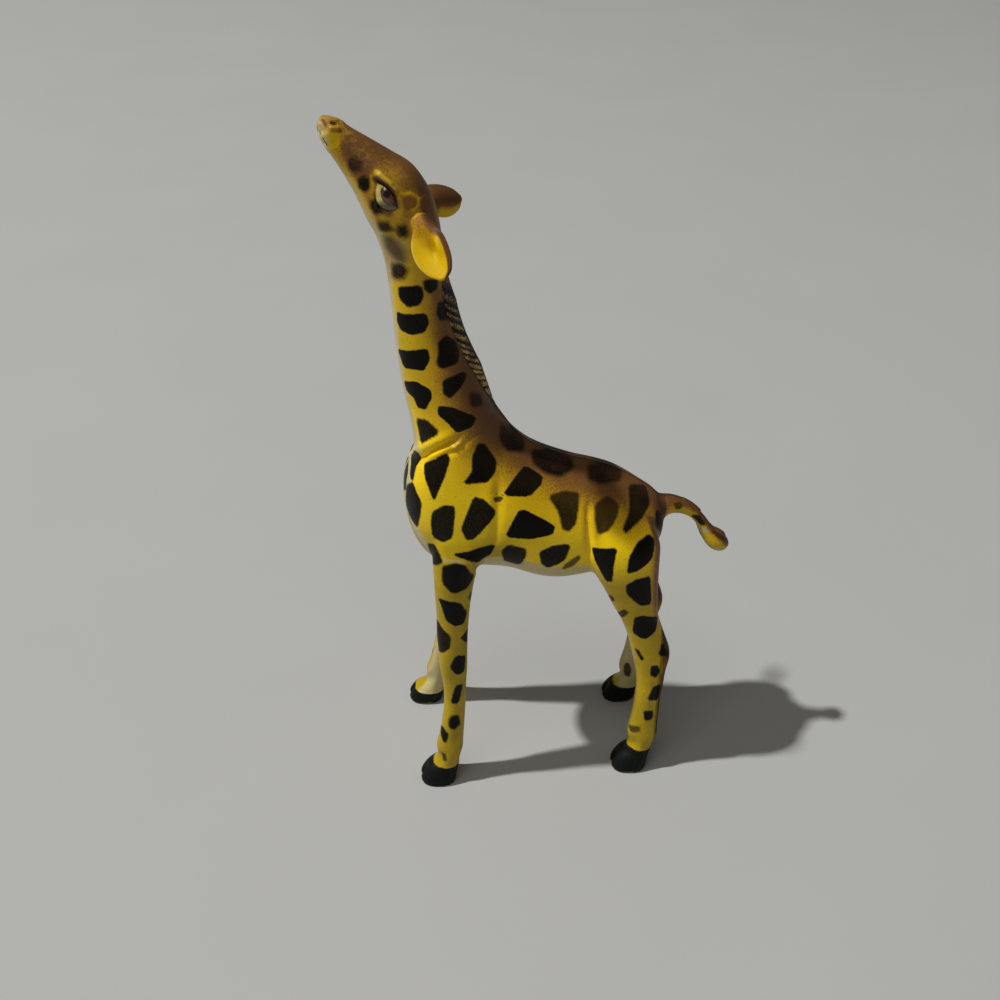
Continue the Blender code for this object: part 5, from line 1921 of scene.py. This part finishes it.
def ear_ring(ear, share, outline):
    """One ring of the cupped blade, which opens out of a round root."""
    opened = smooth_step(share, 0.0, EAR_OPEN_SHARE)
    closed = (1 - opened) * EAR_ROOT_RADIUS
    half = closed + opened * (np.interp(share, np.linspace(0, 1, len(outline)), outline) * EAR_WIDTH)
    thick = closed + opened * EAR_THICKNESS / 2
    if share == 1.0:
        thick *= 0.5
    cup = EAR_CUP * 1.25 * math.sin(math.pi * min(1.0, share * 1.05)) * opened
    root_up = -ear.root_up if np.dot(ear.root_up, ear.facing) < 0 else ear.root_up
    side_axis = unit((1 - opened) * ear.root_across + opened * ear.across)
    over_axis = unit((1 - opened) * root_up + opened * ear.facing)
    foot = ear.seam + ear.root * EAR_ROOT_LENGTH
    run = max(share - EAR_ROOT_SHARE, 0.0) / (1 - EAR_ROOT_SHARE)
    centre = ear.seam + (foot - ear.seam) * smooth_step(share, 0.0, 0.25) + ear.axis * run * EAR_LENGTH
    if ear.side > 0:
        centre = centre + ear.across * EAR_BEND * share**2
    rolled = np.sign(EAR_OVER) * np.abs(EAR_OVER) ** 0.7
    rise = cup * (EAR_ACROSS**2 - 0.35) + rolled * thick
    ridge = bell(EAR_ACROSS - 0.45, 0.18) * bell(share - 0.42, 0.20)
    rise += EAR_RELIEF * (ridge - ear_crease(share)) * smooth_step(EAR_OVER, 0.0, 0.6)
    return centre + np.outer(EAR_ACROSS * half, side_axis) + np.outer(rise, over_axis)


def ear_layers(ear, share):
    """Yellow inside with a brown edge, brown outside, dusky at the root, and painted shade in the inner
    hollow and along its crease.
    """
    inner = smooth_step(EAR_OVER, -0.1, 0.5)
    # painted shade in the cupped hollow and along the crease
    hollow_shade = inner * (bell(EAR_ACROSS + 0.10, 0.35) * bell(share - 0.30, 0.11) + 0.6 * ear_crease(share))
    if ear.side > 0:
        edge_brown = smooth_step(EAR_ACROSS, 0.58, 0.80) * 3.6 + smooth_step(share, 0.95, 1.0) * 0.8
        mist = np.where(inner > 0.5, -1.4 + edge_brown, 1.8)
    else:
        mist = np.where(inner > 0.5, -0.6, 2.1 - 3.1 * smooth_step(EAR_ACROSS, 0.2, 0.9))
    root = smooth_step(-share, -0.36, -0.10)
    dusk = -0.2 + 0.5 * smooth_step(-share, -0.20, -0.04) + 2.4 * smooth_step(EAR_ACROSS, 0.05, 0.7)
    mist = mist * (1 - root) + root * dusk
    values = {
        "yellow": 1.0 - 0.6 * smooth_step(-EAR_ACROSS, 0.86, 0.97),
        "patch_edge": PATCH_FAR,
        "patch_soft": PATCH_SOFTNESS,
        "patch_solid": 1.0,
        "mist": mist + 0.8 * hollow_shade,
        "hoof_edge": -HOOF_FAR,
        "tone": 0.55 - 0.5 * root - 0.75 * hollow_shade,
    }
    columns = [np.broadcast_to(values.get(name, 0.0), EAR_RIM_SIDES) for name in LAYERS]
    return np.stack(columns, 1)


def ear_piece(ear, coat_material):
    outline = smoothed([(share,) for share in EAR_OUTLINE_SHARES], EAR_OUTLINE_STEPS)[:, 0]
    shares = [k / EAR_RINGS for k in range(EAR_RINGS + 1)]
    points, faces = loft_mesh([ear_ring(ear, share, outline) for share in shares])
    layers = np.concatenate([ear_layers(ear, share) for share in shares])
    piece = mesh_piece(ear.name + "_blade", points, faces, layers, LAYERS, coat_material)
    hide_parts(ear.name)


# Mane
MANE_SIDES = 32
MANE_FOOT_WIDTH = 3.1 * MM
RIB_STEPS = 12
CREST_FLOOR_SHARE = 0.99
FLANK_FLOOR_SHARE = 0.76
RIB_SHEAR = -1.5
RIB_SPREAD = 1.45
MANE_TOP_SHARE = 0.90
MANE_LEAN = 0.42
MANE_POWER = 2.2
MANE_SEED = 5
RIB_LENGTHS = (0.7, 1.35)
RIB_DEPTHS = (0.6, 1.0)


def mane_piece(stations, coat_material):
    """A ridge down the nape with an even crest, crossed on its flanks by slanting ribs."""
    first = (TRUNK_ROWS - 1) * STATION_STEPS
    rows = stations[first : (TRUNK_ROWS + NECK_ROWS) * STATION_STEPS]
    nape = np.stack((np.zeros(len(rows)), rows[:, 0], rows[:, 1]), 1)
    throat = np.stack((np.zeros(len(rows)), rows[:, 2], rows[:, 3]), 1)
    point, normal = neck_seam()
    top = neck_foot()[2] + NECK_LENGTH * MANE_TOP_SHARE
    kept = ((nape - point) @ normal > 0) & (nape[:, 2] < top)
    outward = nape[kept] - throat[kept]
    outward /= lengths(outward)[:, None]
    nape = nape[kept]
    gone = np.concatenate(((0.0,), np.cumsum(lengths(np.diff(nape, axis=0)))))
    ribs = round(gone[-1] / (RIB_SPREAD * RIB_PITCH))
    count = ribs * RIB_STEPS
    vary = np.random.default_rng(MANE_SEED)
    starts = np.cumsum(np.concatenate(((0.0,), vary.uniform(*RIB_LENGTHS, ribs))))
    starts *= ribs / starts[-1]
    deep = vary.uniform(*RIB_DEPTHS, ribs + 1)
    rings = []
    layers = []
    for k in range(count + 1):
        at = gone[-1] * k / count
        centre = np.array([np.interp(at, gone, nape[:, i]) for i in range(3)])
        out = unit(np.array([np.interp(at, gone, outward[:, i]) for i in range(3)]))
        line = np.cross((1.0, 0.0, 0.0), out)
        rib = int(np.searchsorted(starts, k / RIB_STEPS, "right")) - 1
        rib = min(rib, ribs - 1)
        within = (k / RIB_STEPS - starts[rib]) / (starts[rib + 1] - starts[rib])
        wave = 1 - deep[rib] * (1 - abs(math.sin(math.pi * within)) ** 0.7)
        end = min(1.0, (count - k + 2) / (3 * RIB_STEPS), ((k + 1) / (6 * RIB_STEPS)) ** 0.8)
        stand = MANE_HEIGHT * (CREST_FLOOR_SHARE + (1 - CREST_FLOOR_SHARE) * wave) * end
        half = (stand + MANE_ROOT_DEPTH) / 2
        width = MANE_FOOT_WIDTH / 2 * (FLANK_FLOOR_SHARE + (1 - FLANK_FLOOR_SHARE) * wave)
        width *= 0.4 + 0.6 * end
        middle = centre + out * (stand - half)
        side = np.array((width, 0.0, 0.0))
        ring = section(middle, side, out * half, MANE_SIDES, MANE_POWER, MANE_LEAN)
        above = (ring - centre) @ out
        ring = ring + np.outer((above + MANE_ROOT_DEPTH / 2) * RIB_SHEAR * end, line)
        rings.append(ring)
        crest = smooth_step(above, 0.78 * stand, 0.94 * stand)
        bright = np.full(MANE_SIDES, (1 - k / count) ** 1.5)
        layers.append(np.stack((np.full(MANE_SIDES, wave), crest, bright), 1))
    points, faces = loft_mesh(rings)
    names = ("rib", "crest", "bright")
    piece = mesh_piece("mane", points, faces, np.concatenate(layers), names, coat_material)
    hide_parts("head_and_neck")


def mane_coat():
    n = Nodes("mane_paint")
    cloud = n.noise(MANE_CLOUD_SIZE)
    flecks = (n.noise(GRAIN_SIZE) - 0.5) * 1.5
    # gold on the ribs' tops is worn paint and painted highlight; the dark between them is dark paint and
    # painted shade in the grooves
    worn = n.layer("rib") + flecks + n.layer("bright") * 0.55
    gold = n.blend(cloud.ramp(0.35, 0.65), MANE_RUST, MANE_GOLD)
    colour = n.blend(worn.ramp(0.92, 1.25) * 0.95, MANE_DARK_AND_GROOVE_SHADE, gold)
    n.set("Base Color", n.blend(n.layer("crest").ramp(0.45, 0.95), colour, PATCH_BLACK))
    n.set("Roughness", 0.42 + cloud * 0.2)
    return n.material


# Eyes: the opening between the lids, the pupil and the iris's long axis, in pixels
EYE_OPENING = (
    (377.0, 182.8), (381.0, 184.2), (386.0, 187.6), (391.0, 193.2), (394.8, 199.5), (396.6, 206.0),
    (396.2, 209.4), (390.0, 210.8), (384.0, 209.4), (379.0, 205.6), (376.0, 199.5), (375.3, 190.5),
)
PUPIL = (387.0, 193.8)
# a pale glint dot on the eye: painted highlight, as toy eyes often carry painted on
GLINT = (385.2, 188.2)
IRIS_MIDDLE = (389.0, 195.6)
IRIS_ENDS = ((382.2, 186.0), (393.4, 205.2))
IRIS_SLENDER = 1.45
EYE_BULGE = 0.58 * MM
EYE_SUNK = 0.05 * MM
EYE_BACK = 0.7 * MM
EYE_RINGS = 22
EYE_LAYERS = ("pupil", "iris", "lid", "glint", "low")
EYE_HEIGHT = 3.2
EYE_STEPS = 6
LENS_TIP_SHARE = 1e-3


def eye_pieces(skin, coat_material):
    """A glossy painted lens between the lids on each side."""
    outline = smoothed((*EYE_OPENING, EYE_OPENING[0]), EYE_STEPS)[:-1]
    rim = np.array([skin.cast(pixel)[0] for pixel in outline])
    middle = rim.mean(0)
    normal = unit(np.cross(rim - middle, np.roll(rim, -1, axis=0) - middle).sum(0))
    if normal[0] < 0:
        normal = -normal
    ends = [skin.cast(pixel)[0] for pixel in IRIS_ENDS]
    along = ends[1] - ends[0]
    along = unit(along - normal * np.dot(along, normal))
    across = np.cross(normal, along)
    rings = [rim - normal * EYE_BACK]
    for k in range(EYE_RINGS + 1):
        part = max(LENS_TIP_SHARE, 1 - k / EYE_RINGS)
        rise = EYE_BULGE * (1 - part**2) ** 0.8 - EYE_SUNK
        rings.append(middle + (rim - middle) * part + normal * rise)
    points, faces = loft_mesh(rings)
    flat = []
    for pixel in (PUPIL, IRIS_MIDDLE, GLINT):
        away = points - skin.cast(pixel)[0]
        flat.append(np.stack((away @ along, away @ across), 1) / MM)
    pupil = lengths(flat[0])
    iris = np.hypot(flat[1][:, 0] / IRIS_SLENDER, flat[1][:, 1])
    # lid: share from the rim inwards; the rim is darkened as painted shade under the lids
    lid = np.repeat([0.0] + [k / EYE_RINGS for k in range(EYE_RINGS + 1)], len(outline))
    # distance from the painted highlight dot
    glint = lengths(flat[2])
    # the eye's lower part, which is darkened as painted shade
    down = np.cross(normal, (0.0, 1.0, 0.0))
    down = down if down[2] < 0 else -down
    low = (points - middle) @ down / (EYE_HEIGHT * MM) * 2
    layers = np.stack((pupil, iris, lid, glint, low), 1)
    for side, name in ((1, "left_eye"), (-1, "right_eye")):
        if side < 0:
            points = points * MIRROR
            faces = [face[::-1] for face in faces]
        piece = mesh_piece(name, points, faces, layers, EYE_LAYERS, coat_material)
        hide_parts("head_and_neck")


def eye_coat():
    n = Nodes("eye_paint")
    cloud = n.noise(EYE_CLOUD_SIZE)
    waver = (n.noise(GRAIN_SIZE) - 0.5) * 0.3
    iris = n.layer("iris") + waver
    pupil = n.layer("pupil") + waver
    white = n.blend(cloud, EYE_CREAM_DULL, EYE_CREAM)
    brown = n.blend(cloud, IRIS_DARK, IRIS_LIGHT)
    rim = n.blend(iris.ramp(0.8, 1.15), brown, IRIS_RIM)
    colour = n.blend(iris.ramp(1.12, 1.32), rim, white)
    colour = n.blend(pupil.ramp(0.46, 0.80), PUPIL_BLACK, colour)
    # painted highlight: a pale glint dot painted on the eye
    colour = n.blend(n.layer("glint").ramp(0.16, 0.34), GLINT_PALE, colour)
    # painted shade over the lower part of the eye
    colour = n.blend(n.layer("low").ramp(0.05, 0.8) * 0.9, colour, EYE_SHADE)
    # painted shade round the eye's rim, under the lids
    colour = n.blend((n.layer("lid") + waver).ramp(-0.04, 0.15), LID_SHADE_BROWN, colour)
    n.set("Base Color", colour)
    n.set("Roughness", 0.12 + cloud * 0.08)
    n.set("Coat Weight", 0.3)
    n.set("Coat Roughness", 0.06)
    return n.material


# Floor and lights
FLOOR_SIZE = 4.0
KEY_AXIS = unit(np.array((0.05, -1.0, 1.62)))
KEY_DISTANCE = 4.0
KEY_SIZE = 0.15
KEY_POWER = 138.0
FILL_AXIS = unit(np.array((0.40, -0.25, 1.0)))
FILL_DISTANCE = 1.3
FILL_SIZE = 0.7
FILL_POWER = 2.0
WORLD_STRENGTH = 0.110
FLOOR_ROUGHNESS = 0.85


def area_light(name, axis, distance, size, power):
    """A round light that looks at the middle of the trunk from along an axis."""
    data = bpy.data.lights.new(name, "AREA")
    data.shape = "DISK"
    data.size = size
    data.energy = power
    made = bpy.data.objects.new(name, data)
    target = np.array((0.0, 0.0, 0.5 * (BELLY_HEIGHT + TRUNK_DEPTH)))
    right = unit(np.cross((0.0, 0.0, 1.0), axis))
    made.matrix_world = placed(right, np.cross(axis, right), axis, target + axis * distance)
    link(made)


def make_stage():
    """A plain pale floor, one soft key light from the animal's front, a wide fill and a pale room."""
    mesh = bpy.data.meshes.new("floor")
    half = FLOOR_SIZE / 2
    corners = [(-half, -half, 0), (half, -half, 0), (half, half, 0), (-half, half, 0)]
    mesh.from_pydata(corners, [], [(0, 1, 2, 3)])
    floor = bpy.data.objects.new("floor", mesh)
    link(floor)
    n = Nodes("floor_matt")
    n.set("Base Color", n.blend(n.noise(FLOOR_CLOUD_SIZE), FLOOR_DULL, FLOOR_PALE))
    n.set("Roughness", FLOOR_ROUGHNESS)
    mesh.materials.append(n.material)
    area_light("key", KEY_AXIS, KEY_DISTANCE, KEY_SIZE, KEY_POWER)
    area_light("fill", FILL_AXIS, FILL_DISTANCE, FILL_SIZE, FILL_POWER)
    world = bpy.data.worlds.new("room")
    world.use_nodes = True
    background = world.node_tree.nodes["Background"]
    background.inputs["Color"].default_value = ROOM_COLOUR
    background.inputs["Strength"].default_value = WORLD_STRENGTH
    bpy.context.scene.world = world
    bpy.context.scene.view_settings.view_transform = "Standard"


def main():
    make_camera()
    make_stage()
    legs = [
        Leg("left_front_leg", True, 1),
        Leg("right_front_leg", True, -1),
        Leg("left_hind_leg", False, 1),
        Leg("right_hind_leg", False, -1),
    ]
    ears = [
        Ear("left_ear", 1, LEFT_EAR_AXIS, LEFT_EAR_FACING),
        Ear("right_ear", -1, RIGHT_EAR_AXIS, RIGHT_EAR_FACING),
    ]
    stations = body_stations()
    skin = build_skin(legs, ears, stations)
    carve(skin, legs, stations)
    layers = paint_skin(skin, legs, stations)
    coats = {
        "torso": Coat("body_coat").material,
        "head_and_neck": Coat("neck_coat").material,
        "tail": Coat("tail_coat").material,
    }
    leg_coat = Coat("leg_coat").material
    for leg in legs:
        coats[leg.name] = leg_coat
    for piece in cut_pieces(skin, legs, layers, coats):
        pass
    ear_coat = Coat("ear_coat", EAR_SHEEN).material
    for ear in ears:
        ear_piece(ear, ear_coat)
    mane_piece(stations, mane_coat())
    eye_pieces(skin, eye_coat())


main()
